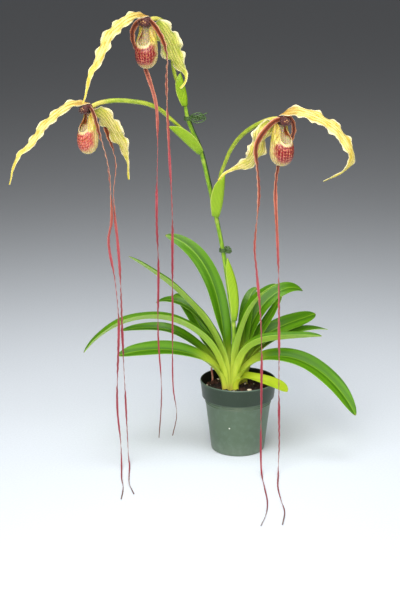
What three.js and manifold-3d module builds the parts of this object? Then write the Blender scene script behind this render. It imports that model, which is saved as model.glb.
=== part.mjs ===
// Potted long-petalled slipper orchid with three flowers, in millimetres, +Z up.
// The origin is the centre of the pot's underside. +X is to the right and -Y is the front.
import * as THREE from "three";
import { mergeVertices } from "three/addons/utils/BufferGeometryUtils.js";
import Module from "manifold-3d";

const wasm = await Module();
wasm.setup();

// Driving dimensions
const GAP = 0.3;
const POT = {
  rimRadius: 57,
  bandRadius: 54,
  bodyRadius: 49.6,
  baseRadius: 40,
  height: 110,
  bandHeight: 27,
  wall: 1.5,
  floor: 2.4,
  drainRadius: 2.7,
  drainCircle: 28,
  drainCount: 6,
  sides: 32,
};
const MIX = { top: 96, bump: 1.7, rings: 5, sides: 28, clearance: 0.5, crown: 5.2, crownFloor: 93.2 };
const RHIZOME = { top: 93.4, bottom: 78, sides: 16 };
const FRONT_GROWTH = { x: -12.5, y: -4, core: 3.2, gap: 3.3, halfX: 13.5, halfY: 11.5 };
const BACK_GROWTH = { x: 1, y: 22, core: 3.2, gap: 2.4, halfX: 13.5, halfY: 11.5 };
const RHIZOME_NECK = { x: 0.5, y: 9, halfX: 6.5, halfY: 8 };
const LEAF = {
  thickness: 0.7,
  keel: 0.5,
  layerStep: 1.35,
  layerGap: 1.1,
  wing: 7,
  sheathBend: 5,
  stations: 13,
};
const STEM = { baseRadius: 3.3, topRadius: 2.6, sides: 8, stations: 18 };
const STAKE = { radius: 1.1, sides: 6, stations: 18 };
const SEPAL = {
  thickness: 0.8,
  stations: 24,
  across: 5,
  footEnd: 0.08,
  wave: 0.2,
  waveFrom: 0.15,
  farPhase: 2.4,
  cup: 0.16,
  belly: { from: 0.1, over: 0.2 },
  tail: { from: 0.5, over: 0.3 },
};
const RIBBON = {
  thickness: 1.0,
  stations: 42,
  turns: 2.1,
  claw: 0.72,
  clawEnd: 0.03,
  footHalf: 4.5,
  midHalf: 1.9,
  settles: 0.3,
};
const OVARY = { stations: 17, sides: 7, stalk: 2.1, body: 3 };
const COLUMN = { radius: 4, shield: [3.2, 8.2, 5.6], shieldLean: -18, reach: 6.4, drop: -3.4 };
const POUCH = {
  frontReach: 16.5,
  backReach: 15.5,
  halfWidth: 15.5,
  bottom: -66,
  widest: -45,
  frontRim: -34,
  backRim: -4.1,
  backNarrowing: 0.62,
  sideNarrowing: 0.42,
  lipIn: 0.16,
  wall: 1.1,
  sides: 14,
  rows: 8,
};

// Colours and finishes of the real pieces
const FINISH = {
  pot: { color: 0x4d6b5c, roughness: 0.45, metalness: 0 },
  mix: { color: 0x3a241b, roughness: 0.95, metalness: 0 },
  rhizome: { color: 0x6f5a33, roughness: 0.85, metalness: 0 },
  leaf: { color: 0x5f9a1f, roughness: 0.42, metalness: 0 },
  stem: { color: 0x7fae34, roughness: 0.5, metalness: 0 },
  bract: { color: 0x8cc332, roughness: 0.5, metalness: 0 },
  stake: { color: 0x35502a, roughness: 0.5, metalness: 0 },
  tie: { color: 0x23401f, roughness: 0.6, metalness: 0 },
  stub: { color: 0xb58a6a, roughness: 0.85, metalness: 0 },
  ovary: { color: 0xa9b840, roughness: 0.55, metalness: 0 },
  column: { color: 0x5c1f1c, roughness: 0.7, metalness: 0 },
  sepal: { color: 0xded56a, roughness: 0.6, metalness: 0 },
  pouch: { color: 0xc98a5a, roughness: 0.45, metalness: 0 },
  petal: { color: 0xb4503f, roughness: 0.6, metalness: 0 },
};

// One growth's leaves, innermost layer first. side -1 is the left rank and 1 the right rank.
// lift is the rise of the blade at its base, droop what it loses by the tip, knee where it bends most.
// swing turns the blade about the upright, fold is the rise of its halves, turn shows its face.
// clasp is the extra length over which its base stays folded round the leaves inside it.
const LEAVES = [
  { name: "leaf_front_left_1", growth: FRONT_GROWTH, layer: 0, side: -1, length: 271, clasp: 18,
    lift: 85.5, droop: 77, bend: 3.4, knee: 2.7, swing: -14, half: 14, fold: 40, turn: 60 },
  { name: "leaf_front_right_1", growth: FRONT_GROWTH, layer: 1, side: 1, length: 183, clasp: 4,
    lift: 83.5, droop: 56, bend: 3, knee: 2.1, swing: 3, half: 15, fold: 58, turn: 0 },
  { name: "leaf_front_left_2", growth: FRONT_GROWTH, layer: 2, side: -1, length: 264, clasp: 5,
    lift: 93.5, droop: 61.5, bend: 1.2, knee: 0.65, swing: 2, half: 17, fold: 41, turn: -9 },
  { name: "leaf_front_right_2", growth: FRONT_GROWTH, layer: 3, side: 1, length: 180, clasp: 0,
    lift: 76.5, droop: 70.5, bend: 6, knee: 0.4, swing: -10, half: 16, fold: 58, turn: -6 },
  { name: "leaf_front_left_3", growth: FRONT_GROWTH, layer: 4, side: -1, length: 291, clasp: 0,
    lift: 88.5, droop: 139.5, bend: 1.2, knee: 2.5, swing: 13, half: 16.5, fold: 46, turn: -8 },
  { name: "leaf_front_right_3", growth: FRONT_GROWTH, layer: 5, side: 1, length: 242, clasp: 0,
    lift: 81.5, droop: 140.5, bend: 1.33, knee: 0.53, swing: -26, half: 16, fold: 26, turn: 28 },
  { name: "leaf_front_left_4", growth: FRONT_GROWTH, layer: 6, side: -1, length: 194, clasp: 0,
    lift: 96, droop: 102.5, bend: 1.1, knee: 0.35, swing: 26, half: 15, fold: 36, turn: 28 },
  { name: "leaf_front_right_4", growth: FRONT_GROWTH, layer: 7, side: 1, length: 108, clasp: 0,
    lift: 90, droop: 93, bend: 3.4, knee: 0.15, swing: -70, half: 10, fold: 34, turn: 22 },
  { name: "leaf_back_right_1", growth: BACK_GROWTH, layer: 0, side: 1, length: 156, clasp: 2,
    lift: 86, droop: 79, bend: 10, knee: 1.6, swing: 41, half: 11, fold: 29, turn: 37 },
  { name: "leaf_back_left_1", growth: BACK_GROWTH, layer: 1, side: -1, length: 198, clasp: -9,
    lift: 65.5, droop: 97, bend: 3.9, knee: 1.15, swing: -27, half: 12, fold: 34, turn: 15 },
  { name: "leaf_back_right_2", growth: BACK_GROWTH, layer: 2, side: 1, length: 208, clasp: 3,
    lift: 86.5, droop: 123, bend: 2.5, knee: 3.8, swing: 36, half: 13, fold: 28, turn: 34 },
  { name: "leaf_back_left_2", growth: BACK_GROWTH, layer: 3, side: -1, length: 172, clasp: 0,
    lift: 57, droop: 70, bend: 8, knee: 3.3, swing: -48, half: 11.5, fold: 24, turn: 29 },
  { name: "leaf_back_right_3", growth: BACK_GROWTH, layer: 4, side: 1, length: 152, clasp: 9,
    lift: 93, droop: 33, bend: 4, knee: 0.24, swing: 0, half: 10, fold: 18, turn: 30 },
  { name: "leaf_back_left_3", growth: BACK_GROWTH, layer: 5, side: -1, length: 206, clasp: 0,
    lift: 47, droop: 62, bend: 5, knee: 0.64, swing: -14, half: 12, fold: 32, turn: 16 },
  { name: "leaf_back_right_4", growth: BACK_GROWTH, layer: 6, side: 1, length: 190, clasp: -2,
    lift: 87.5, droop: 88.5, bend: 3.2, knee: 0.39, swing: 52, half: 14, fold: 26, turn: 35 },
  { name: "leaf_back_right_5", growth: BACK_GROWTH, layer: 7, side: 1, length: 188, clasp: -1,
    lift: 91, droop: 106.5, bend: 1.55, knee: 0.47, swing: 45, half: 14, fold: 35, turn: 0 },
];

// Routes through the plant's own frame
const STEM_ROUTE = [
  [-12.5, -4, 93.8], [-9, -4.5, 140], [-7, -5.5, 187], [-13, -7, 235], [-24.3, -9.7, 311],
  [-36, -14, 369], [-44, -18, 406], [-57, -22, 460], [-69, -24, 489], [-75, -25, 506], [-78, -25, 523],
];
const STAKE_ROUTE = [
  [-9, 9.6, 50], [-9, 9.6, 96], [-6, 9.2, 160], [-6, 7.6, 215], [-13.5, 2.5, 262],
  [-19, -2.6, 292], [-22, -5.2, 311], [-33.5, -9.4, 369], [-41, -13.2, 406], [-54, -17.2, 460],
  [-66, -19.6, 489], [-72, -20.6, 506], [-74.5, -20.8, 515],
];

// The three flowers. yaw is the direction in which each one's sepals lie, and origin is where its
// column starts. turn is how far the lip and the tip of the column face aside from yaw, and swell
// is the size of the pouch, which is raised to seat under the column. rolls are how far a sepal is
// tipped at its foot, belly and tail.
const FLOWERS = [
  {
    name: "right",
    origin: [54.8, -95, 516.2],
    yaw: -20,
    turn: -32,
    swell: 1.06,
    raise: 0.9,
    near: -1,
    dorsal: { half: 10.6, rolls: [54, 28, 28], waves: 6.5,
      path: [[-4, 0, 5], [7, 0, 10], [20, 0, 12.5], [48, 0, 6], [72, 0, -6.5], [90, 0, -26],
        [99, 0, -47], [90, 0, -64], [60, 0, -82]] },
    synsepal: { half: 14.5, rolls: [62, 38, 78], waves: 4.5,
      path: [[-8.8, 0, -4.3], [-15, 0, -7.1], [-23, -1, -14], [-30, -2, -28], [-34, -4, -44],
        [-43, -7, -60], [-58, -9, -68], [-74, -12, -75], [-87, -15, -88]] },
    ovary: [[-31.2, -16, 371.5], [-30.6, -18.8, 390], [-30, -22.6, 409], [-27.5, -26, 427],
      [-22, -32, 443], [-14.5, -40, 463], [-4, -52, 481], [9, -66, 496], [28, -81, 509.5],
      [41, -89.3, 515], [48.4, -92.7, 516.2]],
    nearPetal: [[51.2, -98.5, 516.4], [45, -103, 515], [36, -108, 508.5], [26, -112.5, 497],
      [19.5, -113.5, 484], [18.5, -112, 473], [20.5, -108.5, 458], [24, -102, 413],
      [19, -97, 335], [22, -96, 304], [29, -95, 220],
      [31, -95, 123], [31, -95, 36], [31.5, -99, 10], [32, -117, 2.4], [34, -160, 1.9],
      [36, -205, 1.7], [33, -245, 1.5], [24, -284, 1.3]],
    farPetal: [[54.2, -90.1, 516.2], [64, -83, 515.5], [70.5, -76, 506], [71, -72, 493],
      [66, -70.5, 480], [58, -73.5, 465], [50.5, -80, 448], [47, -86, 423], [50, -90, 360],
      [54, -90, 278],
      [56, -90, 121], [58, -90, 38], [57, -94, 10], [56, -112, 2.4], [53, -155, 1.9],
      [55, -200, 1.7], [58, -240, 1.5], [53, -281, 1.3]],
  },
  {
    name: "left",
    origin: [-213.3, -60, 527.2],
    yaw: 210,
    turn: 14,
    swell: 0.94,
    raise: 0.2,
    near: 1,
    dorsal: { half: 7, rolls: [-60, -32, -32], waves: 7,
      path: [[-4, 0, 5], [10, 0, 7], [26, 0, 5.5], [48, 0, -7], [68, 0, -22], [85, 0, -43],
        [104, 0, -58], [112, 0, -73], [119, 0, -97]] },
    synsepal: { half: 14, rolls: [-62, -28, -28], waves: 4.5,
      path: [[-8.8, 0, -3.2], [-15, 0, -6.4], [-25, 0, -14], [-35, 0, -27], [-43, 0, -40],
        [-51, 0, -54], [-58, 0, -69], [-62, 0, -86], [-63, 0, -108]] },
    ovary: [[-61.2, -26.6, 463.5], [-69, -31.5, 477], [-80, -37, 490], [-99, -45, 509],
      [-113, -49, 522], [-130, -51.5, 530], [-154, -52, 534], [-178, -50.5, 534.5],
      [-196, -51, 531.5], [-206.7, -56.2, 527.6]],
    nearPetal: [[-208.3, -62.9, 527.2], [-203, -71, 520], [-198, -78, 504], [-193, -80, 485],
      [-187, -78, 464], [-183, -76, 436], [-181, -73, 371], [-186, -71, 340], [-178, -68, 277],
      [-174, -68, 218], [-178, -68, 89], [-174, -68, 34], [-173, -72, 9], [-172, -89, 2.3],
      [-170, -125, 1.8], [-166, -160, 1.6], [-167, -197, 1.4]],
    farPetal: [[-213.1, -54.1, 527.2], [-206, -40, 521], [-195, -30, 505], [-188, -26, 484],
      [-181, -25, 462], [-177, -29, 441], [-180, -40, 401], [-178, -47, 366], [-175, -51, 339],
      [-171, -54, 275], [-169, -56, 168], [-166, -57, 86], [-164, -58, 36], [-163, -61, 10],
      [-161, -76, 2.3], [-160, -112, 1.8], [-158, -146, 1.6], [-150, -180, 1.4]],
  },
  {
    name: "top",
    origin: [-130.2, -70, 646.5],
    yaw: 225,
    turn: 20,
    swell: 1,
    raise: 0.4,
    near: 1,
    dorsal: { half: 8, rolls: [-54, -32, -32], waves: 7,
      path: [[-4, 0, 5], [14, 0, 8.5], [33, 0, 4.5], [51, 0, -4.5], [68, 0, -16], [80, 0, -35],
        [91, 0, -52], [103, 0, -67], [107, 0, -82], [115, 0, -101]] },
    synsepal: { half: 17, rolls: [-58, -26, -26], waves: 4.5,
      path: [[-8.8, 0, -4.9], [-15, 0, -7.5], [-25, 0, -14], [-35, 1, -25], [-43, 2, -38],
        [-49, 4, -52], [-55, 8, -65], [-62, 12, -76], [-58, 16, -88], [-46, 18, -95]] },
    ovary: [[-78.1, -25, 523.4], [-81.4, -26.6, 536.5], [-87, -27, 551.5], [-92.7, -26.9, 568.5],
      [-94.8, -26.2, 584.5], [-95.6, -26.9, 601.5], [-98.4, -31.1, 618.5], [-104, -39.6, 634.5],
      [-111.8, -50.2, 645], [-119.6, -59.4, 647.3], [-125.3, -65.1, 646.5]],
    nearPetal: [[-124.8, -71.2, 646.5], [-117.5, -79.5, 639], [-109.5, -86, 627], [-104, -90, 614],
      [-101, -92, 598], [-102, -91, 576], [-102, -90, 544], [-99, -88, 458], [-96, -88, 374],
      [-96, -88, 262], [-96, -88, 129], [-91, -88, 85], [-97, -88, 53]],
    farPetal: [[-131.1, -64.9, 646.5], [-142, -58, 641.5], [-149.5, -51, 630], [-149, -46, 613],
      [-142, -44.5, 597], [-133.5, -49, 580], [-126, -57, 561], [-118, -67, 533], [-115.5, -73, 495],
      [-118, -78, 372], [-116, -80, 303], [-117, -80, 204], [-113, -80, 117], [-117, -80, 46]],
  },
];

// Bracts and the sheath on the stem. The keel is the fold, and the halves clasp what stands inside.
// lateral points across the keel. halves holds the breadth on the side away from it, then on its own.
const BRACTS = [
  { name: "stem_sheath", gap: 4.0, keel: [[-3.6, -5.8, 203], [-1, -6.6, 226], [-3.4, -7.6, 256],
      [-10, -8.6, 280], [-17.6, -9.4, 299]], lateral: [0, 1, 0], halves: [12, 8], fold: 84 },
  { name: "bract_right", gap: 4.5, keel: [[-30.2, -14.7, 362.5], [-26.8, -16.8, 375],
      [-24.4, -20, 390], [-23, -23, 407], [-22.4, -25.5, 425]], lateral: [0, 1, 0.15],
    halves: [17, 1.5], fold: 80 },
  { name: "bract_left", gap: 3.9, keel: [[-60.6, -24.6, 455.5], [-74, -34.4, 469.5],
      [-87, -41.4, 483.5], [-102, -47.6, 498.5]], lateral: [0, -1, 0.15], halves: [2.5, 14],
    fold: 78 },
  { name: "bract_top", gap: 3.7, keel: [[-75.3, -24.8, 524.5], [-76.2, -25.7, 537],
      [-79.5, -26.4, 552], [-84.8, -26.8, 570]], lateral: [0, 1, 0], halves: [12, 8], fold: 80 },
];

// Small helpers
const rad = (degrees) => (degrees * Math.PI) / 180;
const mix = (a, b, t) => a + (b - a) * t;
const clamp01 = (t) => Math.min(1, Math.max(0, t));
const vec = (p) => new THREE.Vector3(p[0], p[1], p[2]);
const range = (n) => Array.from({ length: n }, (_, i) => i);

function smooth(t) {
  const c = clamp01(t);
  return c * c * (3 - 2 * c);
}

function finished(name, geometry, finish) {
  const mesh = new THREE.Mesh(geometry, new THREE.MeshStandardMaterial(finish));
  mesh.name = name;
  return mesh;
}

function geometryFrom(positions, triangles) {
  const geometry = new THREE.BufferGeometry();
  geometry.setAttribute("position", new THREE.Float32BufferAttribute(positions.flat(), 3));
  geometry.setIndex(triangles.flat());
  geometry.computeVertexNormals();
  return geometry;
}

// Solids for cutting and joining
function solid(geometry) {
  const bare = geometry.clone();
  bare.deleteAttribute("normal");
  bare.deleteAttribute("uv");
  const merged = mergeVertices(bare, 1e-4);
  return new wasm.Manifold(
    new wasm.Mesh({
      numProp: 3,
      vertProperties: merged.attributes.position.array,
      triVerts: new Uint32Array(merged.index.array),
    }),
  );
}

function geometryOf(manifold) {
  const mesh = manifold.getMesh();
  const geometry = new THREE.BufferGeometry();
  geometry.setAttribute("position", new THREE.BufferAttribute(mesh.vertProperties, 3));
  geometry.setIndex(new THREE.BufferAttribute(mesh.triVerts, 1));
  geometry.computeVertexNormals();
  return geometry;
}

function placed(geometry, x, y, z) {
  return geometry.clone().translate(x, y, z);
}

// A closed body through rings of equal length, capped by a fan from each end's centre
function loft(rings) {
  const sides = rings[0].length;
  const points = rings.flat().map((p) => p.toArray());
  const triangles = [];
  for (let r = 0; r + 1 < rings.length; r += 1) {
    for (let i = 0; i < sides; i += 1) {
      const j = (i + 1) % sides;
      const [a, b, c, d] = [r * sides + i, r * sides + j, (r + 1) * sides + i, (r + 1) * sides + j];
      triangles.push([a, b, d], [a, d, c]);
    }
  }
  for (const end of [0, rings.length - 1]) {
    const centre = new THREE.Vector3();
    rings[end].forEach((p) => centre.addScaledVector(p, 1 / sides));
    points.push(centre.toArray());
    for (let i = 0; i < sides; i += 1) {
      const [a, b] = [end * sides + i, end * sides + ((i + 1) % sides)];
      triangles.push(end === 0 ? [b, a, points.length - 1] : [a, b, points.length - 1]);
    }
  }
  return geometryFrom(points, triangles);
}

// A thin closed blade. Both faces are split along the same diagonal, so waves never cross them.
function blade(stations) {
  const across = stations[0].top.length;
  const row = across * 2;
  const points = stations.flatMap((s) => [...s.top, ...s.bottom]).map((p) => p.toArray());
  const triangles = [];
  for (let r = 0; r + 1 < stations.length; r += 1) {
    const [here, next] = [r * row, (r + 1) * row];
    for (let i = 0; i + 1 < across; i += 1) {
      const top = [here + i, here + i + 1, next + i, next + i + 1];
      const low = top.map((index) => index + across);
      triangles.push([top[0], top[3], top[1]], [top[0], top[2], top[3]]);
      triangles.push([low[0], low[1], low[3]], [low[0], low[3], low[2]]);
    }
    for (const [edge, flip] of [[0, false], [across - 1, true]]) {
      const [a, b, c, d] = [here + edge, here + edge + across, next + edge, next + edge + across];
      triangles.push(...(flip ? [[a, d, b], [a, c, d]] : [[a, b, d], [a, d, c]]));
    }
  }
  for (const [start, flip] of [[0, false], [(stations.length - 1) * row, true]]) {
    for (let i = 0; i + 1 < across; i += 1) {
      const [a, b, c, d] = [start + i, start + i + 1, start + i + across, start + i + 1 + across];
      triangles.push(...(flip ? [[a, c, d], [a, d, b]] : [[a, d, c], [a, b, d]]));
    }
  }
  return geometryFrom(points, triangles);
}

// Points and directions along a smooth route, evenly spaced
function along(route, count) {
  const curve = new THREE.CatmullRomCurve3(route.map(vec), false, "centripetal");
  curve.arcLengthDivisions = 600;
  const length = curve.getLength();
  return range(count).map((i) => {
    const s = i / (count - 1);
    return { s, at: curve.getPointAt(s), ahead: curve.getTangentAt(s), run: s * length, length };
  });
}

// Sideways and face directions carried along a route without turning about it
function carried(stations, sideways) {
  let side = vec(sideways);
  return stations.map((station) => {
    side = side.clone().addScaledVector(station.ahead, -side.dot(station.ahead)).normalize();
    return { ...station, side, face: station.ahead.clone().cross(side) };
  });
}

function rolled(station, degrees) {
  const [c, s] = [Math.cos(rad(degrees)), Math.sin(rad(degrees))];
  const side = station.side.clone().multiplyScalar(c).addScaledVector(station.face, s);
  const face = station.face.clone().multiplyScalar(c).addScaledVector(station.side, -s);
  return { ...station, side, face };
}

function offset(station, sideways, facing) {
  return station.at.clone().addScaledVector(station.side, sideways).addScaledVector(station.face, facing);
}

// A round body along a route, with a radius at each station
function roundBody(stations, sides, radiusAt) {
  return loft(
    stations.map((station) =>
      range(sides).map((i) => {
        const angle = (2 * Math.PI * i) / sides;
        const radius = radiusAt(station.s, angle);
        return offset(station, radius * Math.cos(angle), radius * Math.sin(angle));
      }),
    ),
  );
}

// The pot: a moulded tub with a deep rim band and drainage holes in its floor
function pot() {
  const { rimRadius, bandRadius, bodyRadius, baseRadius, height, bandHeight, wall, floor } = POT;
  const bandFoot = height - bandHeight;
  const outline = [
    [0, 0], [baseRadius - 1.6, 0], [baseRadius, 1.8], [bodyRadius - 0.5, bandFoot - 6],
    [bodyRadius + 0.5, bandFoot - 5], [bodyRadius - 0.2, bandFoot - 3.6], [bodyRadius, bandFoot],
    [bandRadius, bandFoot + 0.8], [rimRadius - 0.2, height - 1], [rimRadius - 1, height],
    [rimRadius - wall - 0.3, height - 0.6], [bandRadius - wall, bandFoot + 2.4],
    [bodyRadius - wall, bandFoot - 1], [baseRadius - wall, floor + 1.5], [baseRadius - 4, floor],
    [0, floor],
  ];
  const shell = new THREE.LatheGeometry(outline.map((p) => new THREE.Vector2(p[0], p[1])), POT.sides);
  shell.rotateX(Math.PI / 2);
  const drain = new THREE.CylinderGeometry(POT.drainRadius, POT.drainRadius, floor * 3, 8);
  drain.rotateX(Math.PI / 2);
  let body = solid(shell);
  for (const i of range(POT.drainCount)) {
    const angle = (2 * Math.PI * i) / POT.drainCount;
    const [x, y] = [POT.drainCircle * Math.cos(angle), POT.drainCircle * Math.sin(angle)];
    body = body.subtract(solid(placed(drain, x, y, floor / 2)));
  }
  return finished("pot", geometryOf(body), FINISH.pot);
}

// The rhizome lies in the mix and carries both growths
function rhizomeBody(clearance, bottom, top) {
  const pad = (growth) => {
    const shape = new THREE.CylinderGeometry(1, 1, top - bottom, RHIZOME.sides);
    shape.rotateX(Math.PI / 2);
    shape.scale(growth.halfX + clearance, growth.halfY + clearance, 1);
    return solid(placed(shape, growth.x, growth.y, (top + bottom) / 2));
  };
  return pad(FRONT_GROWTH).add(pad(BACK_GROWTH)).add(pad(RHIZOME_NECK));
}

// The potting mix fills the pot. Its top is lumpy, with plain holes for what stands in it.
function pottingMix() {
  const { top, bump, rings, sides, clearance } = MIX;
  const rimInside = mix(POT.baseRadius, POT.bodyRadius, top / (POT.height - POT.bandHeight)) - POT.wall;
  const topRadius = Math.min(rimInside, POT.bandRadius - POT.wall - 1) - clearance;
  const stepZ = POT.height - POT.bandHeight - 2;
  const stepRadius = POT.bodyRadius - POT.wall - clearance - 0.3;
  const footRadius = POT.baseRadius - 4.5;
  const lump = (x, y) =>
    bump * (Math.sin(x * 0.33 + 1) * Math.cos(y * 0.29) + 0.5 * Math.sin(x * 0.71 - y * 0.53));
  const circle = (radius, height) =>
    range(sides).map((i) => {
      const angle = (2 * Math.PI * i) / sides;
      const [x, y] = [radius * Math.cos(angle), radius * Math.sin(angle)];
      return new THREE.Vector3(x, y, height ?? top + lump(x, y));
    });
  const shape = loft([
    circle(footRadius * 0.02, POT.floor + GAP),
    circle(footRadius, POT.floor + GAP),
    circle(stepRadius, stepZ),
    circle(topRadius, null),
    ...range(rings - 1).map((i) => circle(topRadius * (1 - (i + 1) / rings), null)),
    circle(topRadius * 0.02, null),
  ]);
  const hole = (x, y, bottom, radius) => {
    const bore = new THREE.CylinderGeometry(radius, radius, 2 * (top + 9 - bottom), 10);
    bore.rotateX(Math.PI / 2);
    return solid(placed(bore, x, y, bottom + (top + 9 - bottom)));
  };
  const [stakeX, stakeY, stakeZ] = STAKE_ROUTE[0];
  const body = solid(shape)
    .subtract(rhizomeBody(0.6, RHIZOME.bottom - 0.6, top + 9))
    .subtract(rhizomeBody(MIX.crown, MIX.crownFloor, top + 9))
    .subtract(hole(stakeX, stakeY, stakeZ - 0.6, STAKE.radius + 0.5))
    .subtract(hole(STUB.x, STUB.y, STUB.bottom - 0.6, STUB.radius + 0.5));
  return finished("potting_mix", geometryOf(body), FINISH.mix);
}

// The dry stub of an old flower stem
const STUB = { x: -38, y: 24, bottom: 84, top: 119, radius: 1.7, lean: -2 };

function spikeStub() {
  const route = [[STUB.x, STUB.y, STUB.bottom], [STUB.x, STUB.y, MIX.top + 3],
    [STUB.x + STUB.lean, STUB.y, STUB.top]];
  const stations = carried(along(route, 6), [1, 0, 0]);
  const body = roundBody(stations, 8, (s) => STUB.radius * (1 - 0.25 * s));
  return finished("old_spike_stub", body, FINISH.stub);
}

// The line that a leaf's midrib follows, as stations with its own directions
function midrib(leaf) {
  const { growth, layer, side, length, lift, droop, bend, knee, swing } = leaf;
  const x = growth.x + side * (growth.core + LEAF.layerStep * layer);
  const at = new THREE.Vector3(x, growth.y, RHIZOME.top + GAP);
  const fine = 10;
  const steps = (LEAF.stations - 1) * fine;
  const stations = [];
  let done = 0;
  for (let i = 0; i <= steps; i += 1) {
    const s = (i / steps) ** 1.35 * 0.62 + 0.38 * (1 - (1 - i / steps) ** 1.5);
    const bent = (s ** bend * (1 + knee ** bend)) / (s ** bend + knee ** bend);
    const rise = rad(lift - droop * bent + (90 - lift) * Math.exp((-s * length) / LEAF.sheathBend));
    const bearing = rad((side < 0 ? 180 : 0) + swing * s);
    const ahead = new THREE.Vector3(
      Math.cos(rise) * Math.cos(bearing),
      Math.cos(rise) * Math.sin(bearing),
      Math.sin(rise),
    );
    at.addScaledVector(ahead, (s - done) * length);
    done = s;
    if (i % fine === 0) {
      const sideways = new THREE.Vector3(-Math.sin(bearing), Math.cos(bearing), 0);
      const face = ahead.clone().cross(sideways);
      stations.push({ s, at: at.clone(), ahead, side: sideways, face, run: s * length, length });
    }
  }
  return stations;
}

// One cross section of a folded blade: a flat keel strip and a half rising on each side of it
function foldedSection(station, shape) {
  const { strip, stripRise, halves, halfRise, thickness, keel } = shape;
  const line = (sign) => {
    const half = halves[sign < 0 ? 0 : 1];
    const inner = Math.min(strip, half * 0.6);
    const a = [Math.cos(stripRise) * inner, Math.sin(stripRise) * inner];
    const b = [a[0] + Math.cos(halfRise) * (half - inner), a[1] + Math.sin(halfRise) * (half - inner)];
    const between = (stripRise + halfRise) / 2;
    const reach = thickness / Math.cos((halfRise - stripRise) / 2);
    const aLow = [a[0] + Math.sin(between) * reach, a[1] - Math.cos(between) * reach];
    const bLow = [b[0] + Math.sin(halfRise) * thickness, b[1] - Math.cos(halfRise) * thickness];
    return { top: [a, b], low: [aLow, bLow] };
  };
  const [left, right] = [line(-1), line(1)];
  const point = (sign, p) => offset(station, sign * p[0], p[1]);
  return {
    top: [point(-1, left.top[1]), point(-1, left.top[0]), offset(station, 0, 0),
      point(1, right.top[0]), point(1, right.top[1])],
    bottom: [point(-1, left.low[1]), point(-1, left.low[0]), offset(station, 0, -thickness - keel),
      point(1, right.low[0]), point(1, right.low[1])],
  };
}

// A strap leaf: its base clasps the leaves inside it, then opens into a shallow keeled blade
function leafBlade(leaf) {
  const { growth, layer, side, half, fold, turn, clasp } = leaf;
  const gap = growth.gap + LEAF.layerGap * layer;
  const opensAt = 4 + 2.6 * (7 - layer) + clasp;
  const stations = midrib(leaf).map((flat) => {
    const open = smooth((flat.run - opensAt) / 36);
    const station = rolled(flat, side * turn * smooth((flat.s - 0.06) / 0.5));
    const basal = gap + LEAF.wing;
    const belly = half * (0.82 + 0.18 * smooth(flat.s / 0.4));
    const tip = (1 - clamp01((flat.s - 0.6) / 0.4) ** 2.3) ** 0.85;
    const width = Math.max(0.8, mix(basal, belly, open) * tip);
    const opened = fold * (1 - 0.5 * flat.s);
    return foldedSection(station, {
      strip: mix(gap, width / 2, open),
      stripRise: rad(mix(0, opened, open)),
      halves: [width, width],
      halfRise: rad(mix(88, opened, open)),
      thickness: LEAF.thickness,
      keel: LEAF.keel * open * tip,
    });
  });
  return finished(leaf.name, blade(stations), FINISH.leaf);
}

// The flower stem, with a slight swelling at each joint
function flowerStem() {
  const stations = carried(along(STEM_ROUTE, STEM.stations), [0, 1, 0]);
  const body = roundBody(stations, STEM.sides, (s) => mix(STEM.baseRadius, STEM.topRadius, s));
  return finished("flower_stem", body, FINISH.stem);
}

function stake() {
  const stations = carried(along(STAKE_ROUTE, STAKE.stations), [0, 1, 0]);
  return finished("wire_stake", roundBody(stations, STAKE.sides, () => STAKE.radius), FINISH.stake);
}

// A boat-shaped bract folded round the stem or a flower stalk
function bract(spec) {
  const stations = carried(along(spec.keel, 9), spec.lateral).map((station) => {
    const swell = 0.42 + 0.58 * Math.sin(Math.PI * Math.min(1, station.s * 0.86 + 0.1)) ** 0.8;
    const tip = (1 - clamp01((station.s - 0.72) / 0.28) ** 2.6) ** 0.7;
    const halves = spec.halves.map((h) => Math.max(0.9, (spec.gap + h) * swell * tip));
    return foldedSection(station, {
      strip: spec.gap * Math.max(0.2, tip),
      stripRise: rad(12),
      halves,
      halfRise: rad(spec.fold),
      thickness: LEAF.thickness,
      keel: 0.3 * tip,
    });
  });
  return finished(spec.name, blade(stations), FINISH.bract);
}

// A soft wire tie: turns round the stem and the stake, with its knot of loose loops beside them
function tie(name, centre, toStake, turns, loops) {
  const [cx, cy, cz] = centre;
  const reach = Math.hypot(toStake[0], toStake[1]);
  const [ux, uy] = [toStake[0] / reach, toStake[1] / reach];
  const [long, short, wire, pitch, steps] = [6.6, 5, 0.8, 2.1, 10];
  const coil = range(turns * steps + 1).map((i) => {
    const angle = (2 * Math.PI * i) / steps;
    const [a, b] = [1.8 + long * Math.cos(angle), short * Math.sin(angle)];
    return [cx + ux * a - uy * b, cy + uy * a + ux * b, cz + pitch * (i / steps - turns / 2)];
  });
  const tube = (route, count) =>
    solid(roundBody(carried(along(route, count), [0.2, 0.1, 1]), 4, () => wire));
  let body = tube(coil, turns * steps + 1);
  for (const loop of loops) {
    body = body.add(tube(loop.map((p) => [cx + p[0], cy + p[1], cz + p[2]]), 14));
  }
  return finished(name, geometryOf(body), FINISH.tie);
}

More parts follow.
